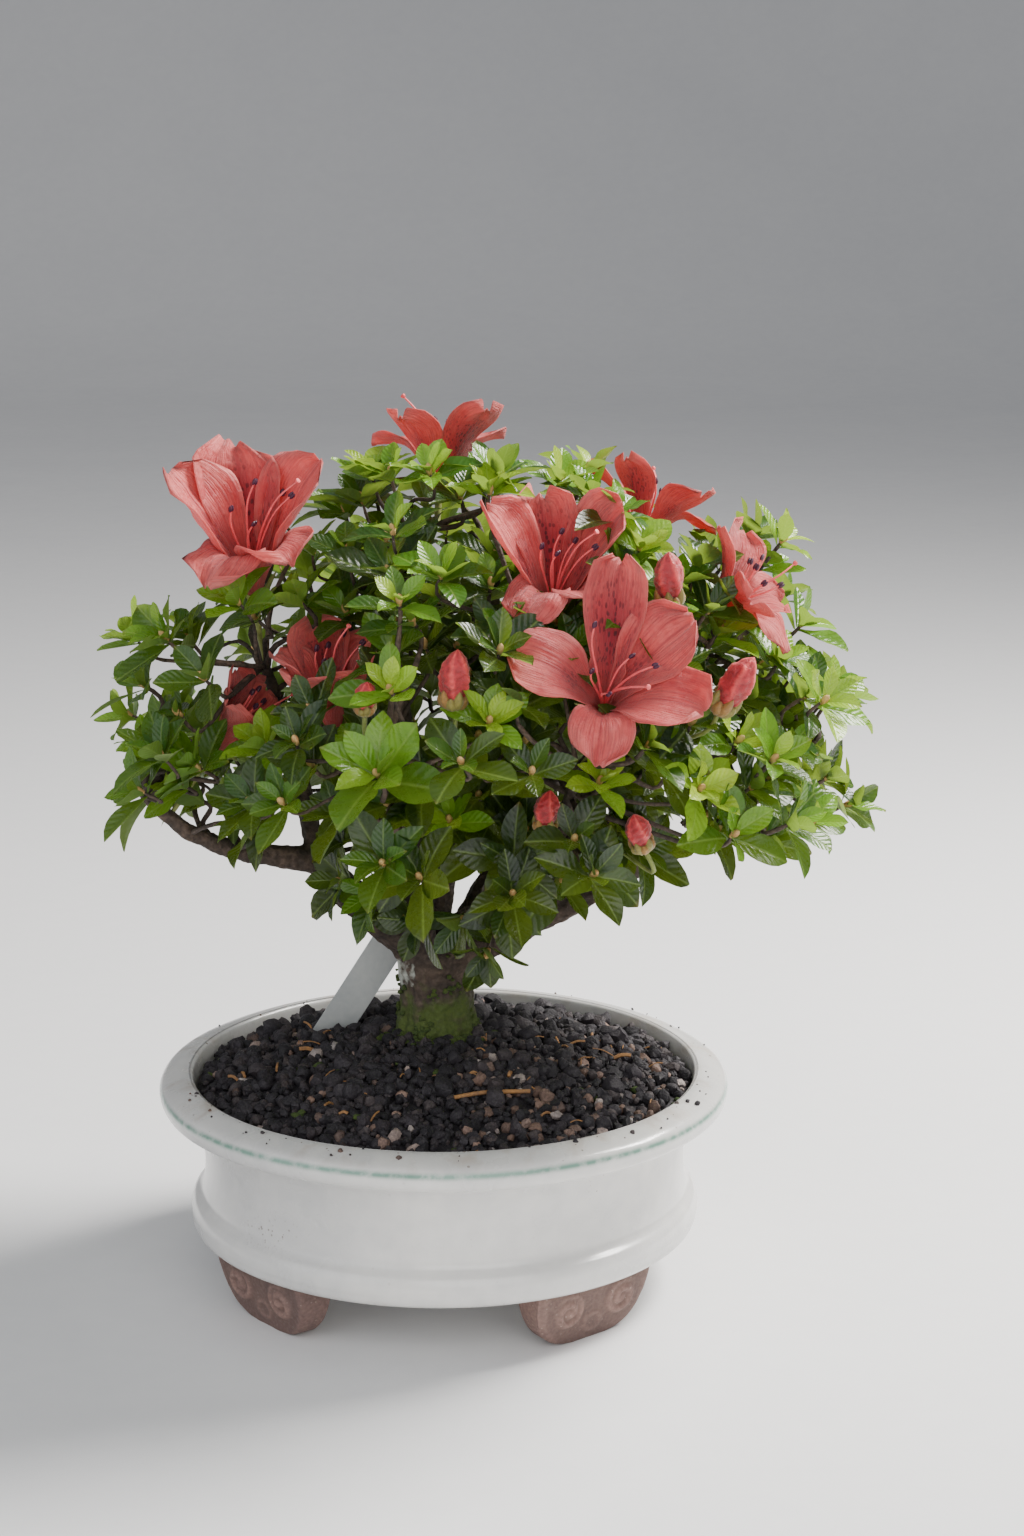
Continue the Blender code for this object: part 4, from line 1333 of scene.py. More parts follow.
@dataclass
class GravelBed:
    """The soil: a lumpy mound under loose grains, with moss, litter and a twig."""

    layout: Layout
    grains: int = 3600
    chunks: int = 190
    rim_crumbs: int = 70
    cushions: int = 150
    scraps: int = 60
    radius: float = 77.5
    small: float = 0.8
    large: float = 2.3

    def mound(self, material: Material) -> Piece:
        """The solid bed under the grains, down to the pot's floor.

        Args:
            material: The gravel's finish.

        Returns:
            The bed.
        """
        rows, columns = 40, 120
        points = []
        for row in range(rows):
            r = self.radius * 1.004 * row / (rows - 1)
            for k in range(columns):
                a = tau * k / columns
                spot = self.layout.polar(r, a)
                lump = noise(spot * 170) * 0.9 + noise(spot * 420) * 0.5
                spot.z = self.layout.ground(r) - 0.0006 + lump * MM
                points.append(spot)
        skirt = ((self.radius - 2.5, 50.0), (71.6, 34.0), (66.0, 26.2), (14.0, 26.2), (13.6, 28.8),
                 (2.0, 28.8))
        for r, z in skirt:
            for k in range(columns):
                a = tau * k / columns
                points.append(self.layout.polar(r, a, z))
        draft = Draft()
        draft.add(np.array(points), grid_faces(rows + len(skirt), columns, closed=True), tone=0.2)
        return hand_in(draft.piece("soil_bed", material), Slot.GRAVEL, "soil")

    def scatter(self, rng: Random, trunk: Vector) -> tuple[Vector, float]:
        """Pick a place on the mound, off the trunk.

        Args:
            rng: The source of chance.
            trunk: The middle of the trunk's foot.

        Returns:
            The place and its radius from the axis in mm.
        """
        while True:
            r = (self.radius - 1.2) * sqrt(rng.random())
            a = rng.uniform(0, tau)
            spot = self.layout.polar(r, a)
            if (spot - trunk).xy.length > 12.5 * MM:
                spot.z = self.layout.ground(r)
                return spot, r

    def build(self, gravel: Material, moss: Material,
              litter: Material) -> list[Piece]:
        """Lay the bed, its grains, its moss and its litter.

        Args:
            gravel: The grains' finish.
            moss: The moss's finish.
            litter: The dry bits' finish.

        Returns:
            The pieces.
        """
        rng = Random(SEED)
        trunk = self.layout.at(*self.layout.trunk_foot, 0)
        pieces = [self.mound(gravel)]
        stones = [pebble(rng) for _ in range(24)]
        heaps = [Draft(), Draft()]
        for index in range(self.grains):
            spot, _ = self.scatter(rng, trunk)
            size = self.small + (self.large - self.small) * rng.random() ** 2.2
            points, faces = rng.choice(stones)
            stretch = np.array([rng.uniform(0.75, 1.25) for _ in range(3)])
            turn = np.array(Matrix.Rotation(rng.uniform(0, tau), 3, "Z")
                            @ Matrix.Rotation(rng.uniform(0, tau), 3, "X"))
            lift = size * rng.uniform(-0.1, 0.75)
            place = np.array(spot) + np.array((0, 0, lift * MM))
            front_right = spot.x > self.layout.axis.x + 0.01 and spot.y < self.layout.axis.y
            pale = rng.random() < (0.15 if front_right else 0.05)
            tone = rng.uniform(0.76, 1.0) if pale else rng.uniform(0.0, 0.66)
            heap = heaps[index % 2]
            heap.add((points * stretch) @ turn.T * size * MM + place, faces, tone=tone)
        for index in range(self.chunks):
            a = rng.uniform(0, tau)
            r = rng.uniform(14, 70)
            if index < 120:
                a, r = rng.uniform(0.15, 2.6), rng.uniform(20, 70)
            spot = self.layout.polar(r, a)
            if (spot - trunk).xy.length < 15 * MM:
                continue
            spot.z = self.layout.ground(r) + rng.uniform(0.5, 3.0) * MM
            size = rng.uniform(1.8, 3.4)
            points, faces = rng.choice(stones)
            turn = np.array(Matrix.Rotation(rng.uniform(0, tau), 3, (1, 0.4, 0.7)))
            heaps[index % 2].add(points @ turn.T * size * MM + np.array(spot), faces,
                                 tone=rng.uniform(0.0, 0.55))
        for index in range(self.rim_crumbs):
            a = rng.uniform(0, tau) if index % 3 else rng.uniform(-2.9, -0.2)
            r = rng.uniform(79.6, 87.0)
            spot = self.layout.polar(r, a)
            spot.z = self.layout.pot_high.z - (max(0.0, r - 83.0) * 0.28 + 0.1) * MM
            size = rng.uniform(0.12, 0.42) if index % 6 else rng.uniform(0.5, 0.9)
            points, faces = rng.choice(stones)
            heaps[index % 2].add(points * size * MM + np.array(spot), faces, tone=rng.uniform(0.2, 0.85))
        for number, heap in enumerate(heaps):
            pieces.append(hand_in(heap.piece("gravel_%d" % (number + 1), gravel, 40), Slot.GRAVEL))
        pieces.append(self.tufts(moss, rng, trunk))
        pieces.append(self.dry_bits(litter, rng, trunk))
        return pieces

    def tufts(self, material: Material, rng: Random, trunk: Vector) -> Piece:
        """Small moss cushions on the soil and round the trunk's foot.

        Args:
            material: Their finish.
            rng: The source of chance.
            trunk: The middle of the trunk's foot.

        Returns:
            The piece.
        """
        draft = Draft()
        stones = [pebble(rng) for _ in range(6)]
        for index in range(self.cushions):
            if index < 95:
                a = rng.uniform(0, tau)
                reach = rng.uniform(12.5, 18.0) * MM
                spot = trunk + spoke(a) * reach
                spot.z = self.layout.ground(self.layout.away(spot))
            else:
                spot, _ = self.scatter(rng, trunk)
            points, faces = stones[index % 6]
            size = rng.uniform(0.7, 2.0)
            place = np.array(spot) + np.array((0, 0, rng.uniform(0.0, 0.8) * MM))
            draft.add(points * np.array((1.2, 1.2, 0.6)) * size * MM + place, faces)
        return hand_in(draft.piece("soil_moss", material), Slot.GRAVEL)

    def dry_bits(self, material: Material, rng: Random, trunk: Vector) -> Piece:
        """Dry leaf scraps, fibres and one thin twig lying on the gravel.

        Args:
            material: Their finish.
            rng: The source of chance.
            trunk: The middle of the trunk's foot.

        Returns:
            The piece.
        """
        draft = Draft()
        for index in range(self.scraps):
            spot, _ = self.scatter(rng, trunk)
            if index < 8:
                spot = self.layout.at(rng.uniform(36, 56), rng.uniform(-12, 12), 0)
                spot.z = self.layout.ground(self.layout.away(spot))
            spot.z += 1.8 * MM
            a = rng.uniform(0, tau)
            ahead = Vector((cos(a), sin(a), rng.uniform(-0.1, 0.3)))
            length = rng.uniform(2.0, 7.0) * MM
            path = smooth_path([spot, spot + ahead * length * 0.5 + Vector((0, 0, 0.6 * MM)),
                                spot + ahead * length], 3)
            wide = rng.uniform(0.15, 0.7) if index % 2 else 0.18
            draft.rod(path, [wide * MM] * len(path), 5)
        start = self.layout.at(4, -44, 0)
        end = self.layout.at(27, -38, 0)
        start.z = self.layout.ground(44) + 1.6 * MM
        end.z = self.layout.ground(47) + 2.2 * MM
        path = smooth_path([start, start.lerp(end, 0.4) + Vector((0, 0.8 * MM, 0.5 * MM)), end], 6)
        draft.rod(path, [0.7 * MM] * len(path), 7)
        return hand_in(draft.piece("dry_litter", material, 60), Slot.GRAVEL)


@dataclass
class StakeLabel:
    """The blank plastic plant label pushed into the soil behind the trunk."""

    layout: Layout
    width: float = 11.0
    thickness: float = 0.8
    length: float = 62.0
    tilt: float = 32.2
    foot: tuple[float, float] = (-46.5, 24.0)
    below: float = 21.0

    def build(self, material: Material) -> Piece:
        """Cut the label with rounded upper corners and a tapered foot.

        Args:
            material: Its plastic.

        Returns:
            The label.
        """
        outline = []
        half = self.width / 2
        for k in range(9):
            a = pi / 2 * k / 8
            outline.append((half - 2 + 2 * cos(a), self.length - 2 + 2 * sin(a)))
        outline = [(half, 10.0)] + outline
        outline += [(-x, z) for x, z in reversed(outline)] + [(-1.2, 0.0), (1.2, 0.0)]
        place = Matrix.Translation(self.layout.at(*self.foot, self.layout.soil_top / MM - self.below))
        place = place @ Matrix.Rotation(radians(self.tilt), 4, "Y")
        front, back = [], []
        for x, z in outline:
            for row, y in ((front, -0.5), (back, 0.5)):
                row.append(place @ (Vector((x, y * self.thickness, z)) * MM))
        count = len(outline)
        faces = [tuple(range(count)), tuple(reversed(range(count, 2 * count)))]
        faces += [(k, k + count, (k + 1) % count + count, (k + 1) % count) for k in range(count)]
        draft = Draft()
        draft.add(np.array(front + back), faces)
        piece = draft.piece("stake_label", material, 30)
        bevel = piece.modifiers.new("soft_edge", "BEVEL")
        bevel.width = 0.15 * MM
        bevel.segments = 2
        bevel.limit_method = "ANGLE"
        return hand_in(piece, Slot.LABEL, "plant_label")


# ---------------- the wood


@dataclass
class Wood:
    """Trunk, branches and twigs."""

    layout: Layout
    frame: dict
    voxel: float = 0.85
    cushions: int = 420
    search: BVHTree | None = None

    def build(self, bark: Material) -> Piece:
        """Give the CAD trunk and branches real bark.

        Args:
            bark: The bark's finish.

        Returns:
            The wood.
        """
        source = self.frame["nodes"]["trunk_and_branches"]
        piece = source.copy()
        piece.data = source.data.copy()
        piece.name = "barked_wood"
        piece.parent = None
        piece.matrix_world = source.matrix_world.copy()
        bpy.context.scene.collection.objects.link(piece)
        mesh = piece.data
        mesh.transform(piece.matrix_world)
        piece.matrix_world = Matrix.Identity(4)
        remesh = piece.modifiers.new("even_skin", "REMESH")
        remesh.mode = "VOXEL"
        remesh.voxel_size = self.voxel * MM
        soften = piece.modifiers.new("soften", "SMOOTH")
        soften.iterations = 4
        bpy.context.view_layer.update()
        graph = bpy.context.evaluated_depsgraph_get()
        mesh = bpy.data.meshes.new_from_object(piece.evaluated_get(graph), depsgraph=graph)
        piece.modifiers.clear()
        piece.data = mesh
        self.search = BVHTree.FromPolygons([v.co.copy() for v in mesh.vertices],
                                           [tuple(p.vertices) for p in mesh.polygons])
        self.furrow(mesh)
        mesh.materials.clear()
        mesh.materials.append(bark)
        mesh.polygons.foreach_set("use_smooth", [True] * len(mesh.polygons))
        return hand_in(piece, Slot.BARK, "trunk_and_branches")

    def furrow(self, mesh: bpy.types.Mesh) -> None:
        """Push bark ridges in and out, and mark moss and lichen.

        Args:
            mesh: The wood's mesh.
        """
        top = self.layout.soil_top
        ridges, mosses, lichens = [], [], []
        normals = [vertex.normal.copy() for vertex in mesh.vertices]
        for vertex, normal in zip(mesh.vertices, normals):
            rel = vertex.co - self.layout.axis
            thick = max(0.12, min(1.0, 1.25 - (vertex.co.z - top) / 0.075))
            stretched = Vector((rel.x * 330, rel.y * 330, rel.z * 110))
            ridge = noise(stretched) * 0.7 + noise(rel * 560) * 0.45
            knot = max(0.0, noise(rel * 90 + Vector((9, 2, 4)))) * 1.6
            below = vertex.co.z < top - 0.003
            fork = exp(-(((vertex.co.z - top - 0.043) / 0.019) ** 2))
            push = 0.0 if below else (ridge * 1.15 + knot) * thick - 1.8 * fork
            vertex.co += normal * push * MM
            ridges.append(0.5 + ridge * 0.6)
            height = (vertex.co.z - top) / 0.034
            mosses.append(max(0.0, min(1.0, 1.12 - height)) * (1.0 if normal.y < 0.5 else 0.75))
            left = exp(-(((vertex.co.z - top - 0.021) / 0.009) ** 2)) * max(0.0, -normal.x)
            lichens.append(left)
        for title, column in (("ridge", ridges), ("mossy", mosses), ("lichen", lichens)):
            mark(mesh, title, column)
        mesh.update()

    def moss(self, material: Material) -> Piece:
        """Cushions of moss standing on the lower trunk.

        Args:
            material: The moss.

        Returns:
            The cushions.
        """
        rng = Random(SEED + 3)
        draft = Draft()
        lumps = [pebble(rng) for _ in range(5)]
        foot = self.layout.at(*self.layout.trunk_foot, 0)
        for index in range(self.cushions):
            a = rng.uniform(0, tau)
            rise = 0.030 * rng.random() ** 1.5
            ray = foot + Vector((cos(a) * 0.03, sin(a) * 0.03, 0))
            ray.z = self.layout.soil_top + rise - 0.001
            hit, normal, _, _ = self.search.ray_cast(ray, Vector((-cos(a), -sin(a), 0)))
            if hit is None:
                continue
            if noise(hit * 130) < -0.05 + rise * 12:
                continue
            points, faces = lumps[index % 5]
            size = rng.uniform(0.4, 1.25) * (1.15 - rise / 0.05)
            draft.add(points * size * MM + np.array(hit + normal * 0.3 * MM), faces)
        return hand_in(draft.piece("trunk_moss", material), Slot.BARK)

    def twig(self, draft: Draft, target: Vector, arrival: Vector, rng: Random,
             thick: float = 1.0) -> None:
        """Add one twig from the nearest wood to a point.

        Args:
            draft: Where it is added.
            target: Where it ends.
            arrival: Its direction there.
            rng: The source of small differences.
            thick: Its thickness against the usual.
        """
        wander = jitter(rng, 1) * 4 * MM
        start, normal, _, _ = self.search.find_nearest(target - arrival * 6 * MM + wander)
        span = (target - start).length
        bend = start + normal * span * 0.25 + (target - start) * 0.2 + wander * 0.5
        near = target - arrival * min(span * 0.4, 9 * MM)
        path = smooth_path([start - normal * 0.6 * MM, bend, near, target], 4)
        count = len(path)
        radii = [thick * (1.25 - 0.6 * k / (count - 1)) * MM * (1 + 0.12 * sin(k * 2.1))
                 for k in range(count)]
        draft.rod(path, radii, 6, ridge=0.6 + rng.uniform(-0.2, 0.3), mossy=0.0, lichen=0.0)


# ---------------- leaves


@dataclass
class LeafMaker:
    """Makes single azalea leaves as folded, curled grids."""

    rows: int = 9
    columns: int = 5

    def outline(self) -> np.ndarray:
        """The leaf's outline.

        Returns:
            Half widths along it, as shares of the greatest.
        """
        shares = (0.0, 0.06, 0.16, 0.32, 0.50, 0.66, 0.80, 0.91, 1.0)
        widths = (0.10, 0.16, 0.46, 0.80, 0.98, 1.00, 0.82, 0.48, 0.05)
        return np.interp(np.linspace(0, 1, self.rows), shares, widths)

    def add(self, draft: Draft, base: Vector, ahead: Vector, up: Vector, length: float, width: float,
            tone: float, rng: Random) -> None:
        """Add one leaf.

        Args:
            draft: Where it is added.
            base: Its foot, in metres.
            ahead: The way it grows.
            up: The way its upper face looks.
            length: Its length in mm.
            width: Its width in mm.
            tone: 0 for old and dark leaves and for painted shade, 1 for new, yellow ones and for painted
                light.
            rng: The source of small differences.
        """
        side = ahead.cross(up).normalized()
        up = side.cross(ahead).normalized()
        curl = rng.uniform(-0.05, 0.42)
        fold = rng.uniform(0.12, 0.46)
        twist = rng.uniform(-0.35, 0.35)
        ripple = rng.uniform(0.0, 0.07)
        phase = rng.uniform(0, tau)
        t = np.linspace(0, 1, self.rows)[:, None]
        s = np.linspace(-1, 1, self.columns)[None, :]
        half = self.outline()[:, None] * width / 2
        x = half * s * np.cos(fold * np.abs(s))
        z = np.abs(half * s) * sin(fold) - length * curl * t**2
        z = z + ripple * width * np.abs(s) * np.sin(t * 11 + phase + s * 2.0)
        y = np.broadcast_to(length * (t * (1 - 0.25 * curl * t)), x.shape)
        turn = twist * t
        x, z = x * np.cos(turn) - z * np.sin(turn) * 0.3, z + x * np.sin(turn)
        grid = np.stack([x, y, z], axis=-1).reshape(-1, 3) * MM
        axes = np.array([side, ahead, up])
        points = grid @ axes + np.array(base)
        along = np.repeat(np.linspace(0, 1, self.rows), self.columns)
        across = np.tile(np.linspace(-1, 1, self.columns), self.rows)
        draft.add(points, grid_faces(self.rows, self.columns), along=along,
                  across=across * np.repeat(self.outline(), self.columns), tone=tone)


@dataclass(frozen=True)
class Spray:
    """One spray of the crown: its CAD node's number and where its tip points."""

    number: int
    tip: Vector


@dataclass
class Rosette:
    """A whorl of leaves at a twig's end."""

    centre: Vector
    axis: Vector
    tone: float
    leaves: int
    length: float
    spread: float = 1.05

    def build(self, draft: Draft, buds: Draft, maker: LeafMaker, rng: Random) -> None:
        """Add its leaves and its small end bud.

        Args:
            draft: Where the leaves are added.
            buds: Where the end bud is added.
            maker: The leaf maker.
            rng: The source of small differences.
        """
        side = self.axis.orthogonal().normalized()
        start = rng.uniform(0, tau)
        for index in range(self.leaves):
            share = index / max(1, self.leaves - 1)
            open_angle = self.spread * (1.18 - 0.72 * share) * rng.uniform(0.85, 1.12)
            turn = Matrix.Rotation(start + GOLDEN_ANGLE * index + rng.uniform(-0.2, 0.2), 3, self.axis)
            outward = turn @ side
            ahead = (self.axis * cos(open_angle) + outward * sin(open_angle)).normalized()
            upward = (self.axis * sin(open_angle) - outward * cos(open_angle)).normalized()
            tilt = Matrix.Rotation(rng.uniform(-0.35, 0.35), 3, ahead)
            length = self.length * (1.0 - 0.42 * share) * rng.uniform(0.86, 1.12)
            tone = min(1.0, max(0.0, self.tone + 0.28 * (share - 0.45) + rng.uniform(-0.10, 0.10)))
            base = self.centre - self.axis * (3.2 * (1 - share)) * MM + outward * 0.5 * MM
            maker.add(draft, base, ahead, tilt @ upward, length, length * rng.uniform(0.47, 0.58), tone,
                      rng)
        tip = self.centre + self.axis * 2.6 * MM
        path = [self.centre - self.axis * 1.5 * MM, self.centre + self.axis * 0.6 * MM,
                self.centre + self.axis * 1.8 * MM, tip]
        buds.rod(path, [0.7 * MM, 1.15 * MM, 0.85 * MM, 0.1 * MM], 8)


@dataclass
class Crown:
    """All the leaves: filled out round the spray places inside the crown's shell."""

    layout: Layout
    wood: Wood
    keep_clear: list[tuple[Vector, Vector, float]] = field(default_factory=list)
    spacing: float = 10.2
    whorls: int = 345
    most_tries: int = 30000
    stray: float = 3.0
    tips: tuple[tuple[float, float, float], ...] = (
        (-66, -20, 46), (-76, 4, 48), (-42, -38, 52), (-16, -64, 52), (-5, -62, 66), (-32, -24, 74),
        (-15, -6, 91), (14, -14, 92), (0, -46, 80), (48, -28, 83), (69, -22, 70), (68, -46, 52),
        (94, -8, 58), (90, -14, 47), (38, -54, 48), (5, -42, 40), (40, -34, 35), (-18, -18, 27),
        (-52, 38, 50), (-26, 52, 70), (18, 60, 64), (52, 52, 55), (76, 30, 62), (2, 36, 88),
        (44, 28, 82), (-54, 22, 70),
    )
    # Whorls painted as lit: bright yellow-green tones where light falls on the crown.
    painted_lit_whorls: tuple[tuple[float, float, float, float], ...] = (
        (-17, -80, 183, 24), (-13, -78, 207, 17), (-78, -30, 168, 19), (-75, 0, 179, 18),
        (-52, -40, 182, 17),
        (-42, -25, 223, 17), (-21, -5, 259, 18), (-3, -25, 262, 16), (15, -30, 257, 16), (1, -60, 237, 17),
        (36, 0, 256, 18), (59, -40, 242, 16), (66, -52, 224, 16), (83, -30, 215, 17), (88, -50, 186, 18),
        (76, -65, 175, 17), (102, -20, 204, 17), (120, 0, 190, 19), (107, -10, 175, 18), (15, -78, 198, 16),
        (47, -60, 176, 16), (3, -50, 162, 15),
    )
    # Whorls painted as shaded: near-black tones where the crown is in shade.
    painted_shade_whorls: tuple[tuple[float, float, float, float], ...] = (
        (6, -25, 124, 21), (-31, -15, 134, 20), (36, -40, 141, 21), (60, -40, 150, 20), (-10, -40, 146, 20),
        (22, -52, 150, 19), (-52, -20, 160, 20), (80, -35, 160, 20), (-84, 8, 160, 18),
        (-8, -18, 121, 19), (14, -26, 114, 17), (20, -34, 132, 20),
    )

    def centre(self) -> Vector:
        """The middle the leaves grow away from."""
        return self.layout.at(14, 5, 150)

    def inside(self, spot: Vector) -> bool:
        """Whether a place is in the crown's shell.

        Args:
            spot: The place.

        Returns:
            True if it is.
        """
        rel = (spot - self.layout.at(16, -1, 170)) / MM
        floor = -26 + 11 * min(1.0, abs(rel.x) / 85) ** 2
        if rel.z < floor + 9 * noise(spot * 40):
            return False
        across = (rel.x / 118) ** 2 + (rel.y / 90) ** 2
        up = rel.z / 96 if rel.z > 0 else rel.z / 40
        reach = across + up * up
        return 0.12 < reach < 1.0 + 0.24 * noise(spot * 34)

    def clear(self, spot: Vector, reach: float) -> bool:
        """Whether a place keeps away from the flowers and buds.

        Args:
            spot: The place.
            reach: The room it needs, in metres.

        Returns:
            True if it does.
        """
        for place, ahead, radius in self.keep_clear:
            share = max(0.0, min(1.0, (spot - place).dot(ahead) / ahead.length_squared))
            if (place + ahead * share - spot).length < radius + reach:
                return False
        return True

    def rosettes(self, rng: Random) -> list[Rosette]:
        """Choose every whorl of leaves.

        Args:
            rng: The source of chance.

        Returns:
            The whorls.
        """
        made: list[Rosette] = []
        middle = self.centre()

        def put(spot: Vector, tone: float, leaves: int, length: float, lift: float = 0.55) -> None:
            """Add a whorl growing up and out.

            Args:
                spot: Its place.
                tone: 0 for old and dark leaves and for painted shade, 1 for new ones and for painted light.
                leaves: How many it has.
                length: The length of its largest leaf in mm.
                lift: How strongly it turns up.
            """
            out = (spot - middle).normalized()
            axis = (out + Vector((0, 0, lift)) + jitter(rng, 0.22)).normalized()
            made.append(Rosette(spot, axis, tone, leaves, length))

        # Painted light on the lit whorls, painted shade on the shaded ones.
        for x, y, z, length in self.painted_lit_whorls:
            put(self.layout.at(x, y, z), rng.uniform(0.66, 0.92), rng.randint(8, 10), length)
        for x, y, z, length in self.painted_shade_whorls:
            put(self.layout.at(x, y, z), rng.uniform(0.05, 0.18), rng.randint(6, 8), length, 0.3)
        for x, y, z in self.tips:
            spot = self.layout.tree(x, y, z)
            if all((spot - other.centre).length > 10 * MM for other in made):
                put(spot, rng.uniform(0.35, 0.7), rng.randint(7, 9), rng.uniform(17, 21))
        tries = 0
        while len(made) < self.whorls and tries < self.most_tries:
            tries += 1
            spot = self.layout.at(rng.uniform(-108, 134), rng.uniform(-92, 90), rng.uniform(118, 266))
            if not self.inside(spot) or not self.clear(spot, 4.5 * MM):
                continue
            if any((spot - other.centre).length < self.spacing * MM for other in made):
                continue
            # Leaves further out get lighter tones and inner ones darker: partly younger outer growth,
            # partly painted shade inside the crown.
            depth = ((spot - middle).length / MM) / 105
            tone = min(0.85, max(0.03, -0.62 + 1.05 * depth + rng.uniform(-0.16, 0.26)))
            put(spot, tone, rng.randint(6, 9), rng.uniform(15, 21))
        return made

    def build(self, leaf: Material, bark: Material,
              tip: Material) -> list[Piece]:
        """Grow the leaves, one piece to each CAD spray, with their twigs and end buds.

        Args:
            leaf: The leaves' finish.
            bark: The twigs' finish.
            tip: The end buds' finish.

        Returns:
            The pieces.
        """
        rng = Random(SEED + 11)
        maker = LeafMaker()
        sprays = [Spray(k + 1, self.layout.tree(*tip_at)) for k, tip_at in enumerate(self.tips)]
        drafts = {spray.number: Draft() for spray in sprays}
        twigs, ends = Draft(), Draft()
        whorls = self.rosettes(rng)
        for whorl in whorls:
            nearest = min(sprays, key=lambda spray: (spray.tip - whorl.centre).length)
            whorl.build(drafts[nearest.number], ends, maker, rng)
            self.wood.twig(twigs, whorl.centre, whorl.axis, rng, rng.uniform(0.6, 0.9))
        LOG.info("%d whorls of leaves", len(whorls))
        pieces = []
        for number, draft in drafts.items():
            piece = self.trim(draft).piece("leaves_%02d" % number, leaf)
            pieces.append(hand_in(piece, Slot.FOLIAGE, "leaf_spray_%02d" % number))
        pieces.append(hand_in(twigs.piece("fine_twigs", bark), Slot.BARK))
        pieces.append(hand_in(ends.piece("end_buds", tip), Slot.BUDS))
        return pieces

    def trim(self, draft: Draft) -> Draft:
        """Pull any point that strays outside the part's box back to it.

        Args:
            draft: The leaves.

        Returns:
            The same draft.
        """
        low, high = (np.array(self.layout.low) - self.stray * MM,
                     np.array(self.layout.high) + self.stray * MM)
        for block in draft.points:
            np.clip(block, low, high, out=block)
        return draft


# ---------------- flowers


@dataclass(frozen=True)
class Lobe:
    """One lobe of a flower: where it stands round the axis, its size and its backward curl."""

    angle: float
    stretch: float
    width: float
    curl: float


EVEN_LOBES = (
    Lobe(90, 1.10, 0.92, 0.05), Lobe(162, 1.03, 1.0, 0.15), Lobe(234, 0.92, 1.0, 0.50),
    Lobe(306, 0.92, 1.0, 0.45), Lobe(18, 1.03, 1.0, 0.15),
)
TALL_LOBES = (
    Lobe(98, 1.18, 1.0, -0.10), Lobe(160, 1.26, 1.12, -0.20), Lobe(236, 0.86, 0.9, 1.10),
    Lobe(304, 0.86, 0.9, 0.70), Lobe(22, 1.22, 1.05, -0.10),
)
FRONT_LOBES = (
    Lobe(82, 1.30, 0.78, 0.05), Lobe(164, 1.0, 1.02, 0.25), Lobe(262, 0.74, 0.86, 0.55),
    Lobe(334, 1.06, 1.0, 0.25), Lobe(32, 1.14, 1.04, 0.10),
)


@dataclass(frozen=True)
class FlowerPlan:
    """Where one flower is and how far it is open."""

    number: int
    base: tuple[float, float, float]
    direction: tuple[float, float, float]
    turn: float
    size: float
    openness: float
    lobes: tuple[Lobe, ...] = EVEN_LOBES


FLOWERS = (
    FlowerPlan(1, (-46, -17, 73), (-0.04, -0.34, 0.94), 10, 1.26, 0.62, TALL_LOBES),
    FlowerPlan(2, (-1, 16, 87), (0.05, 0.22, 0.97), 50, 0.80, 0.60),
    FlowerPlan(3, (28, -32, 71), (0.04, -0.34, 0.94), 0, 1.02, 0.56, TALL_LOBES),
    FlowerPlan(4, (40, -50, 60), (0.02, -0.74, 0.67), 0, 1.00, 0.88, FRONT_LOBES),
    FlowerPlan(5, (68, -20, 71), (0.72, -0.25, 0.64), 30, 0.74, 0.58),
    FlowerPlan(6, (51, 14, 79), (0.30, 0.30, 0.90), 10, 0.70, 0.62),
    FlowerPlan(7, (-26, -30, 54), (-0.10, -0.12, 0.98), 50, 0.98, 0.36),
    FlowerPlan(8, (-57, -14, 49), (0.62, -0.25, 0.74), 0, 0.80, 0.26),
)


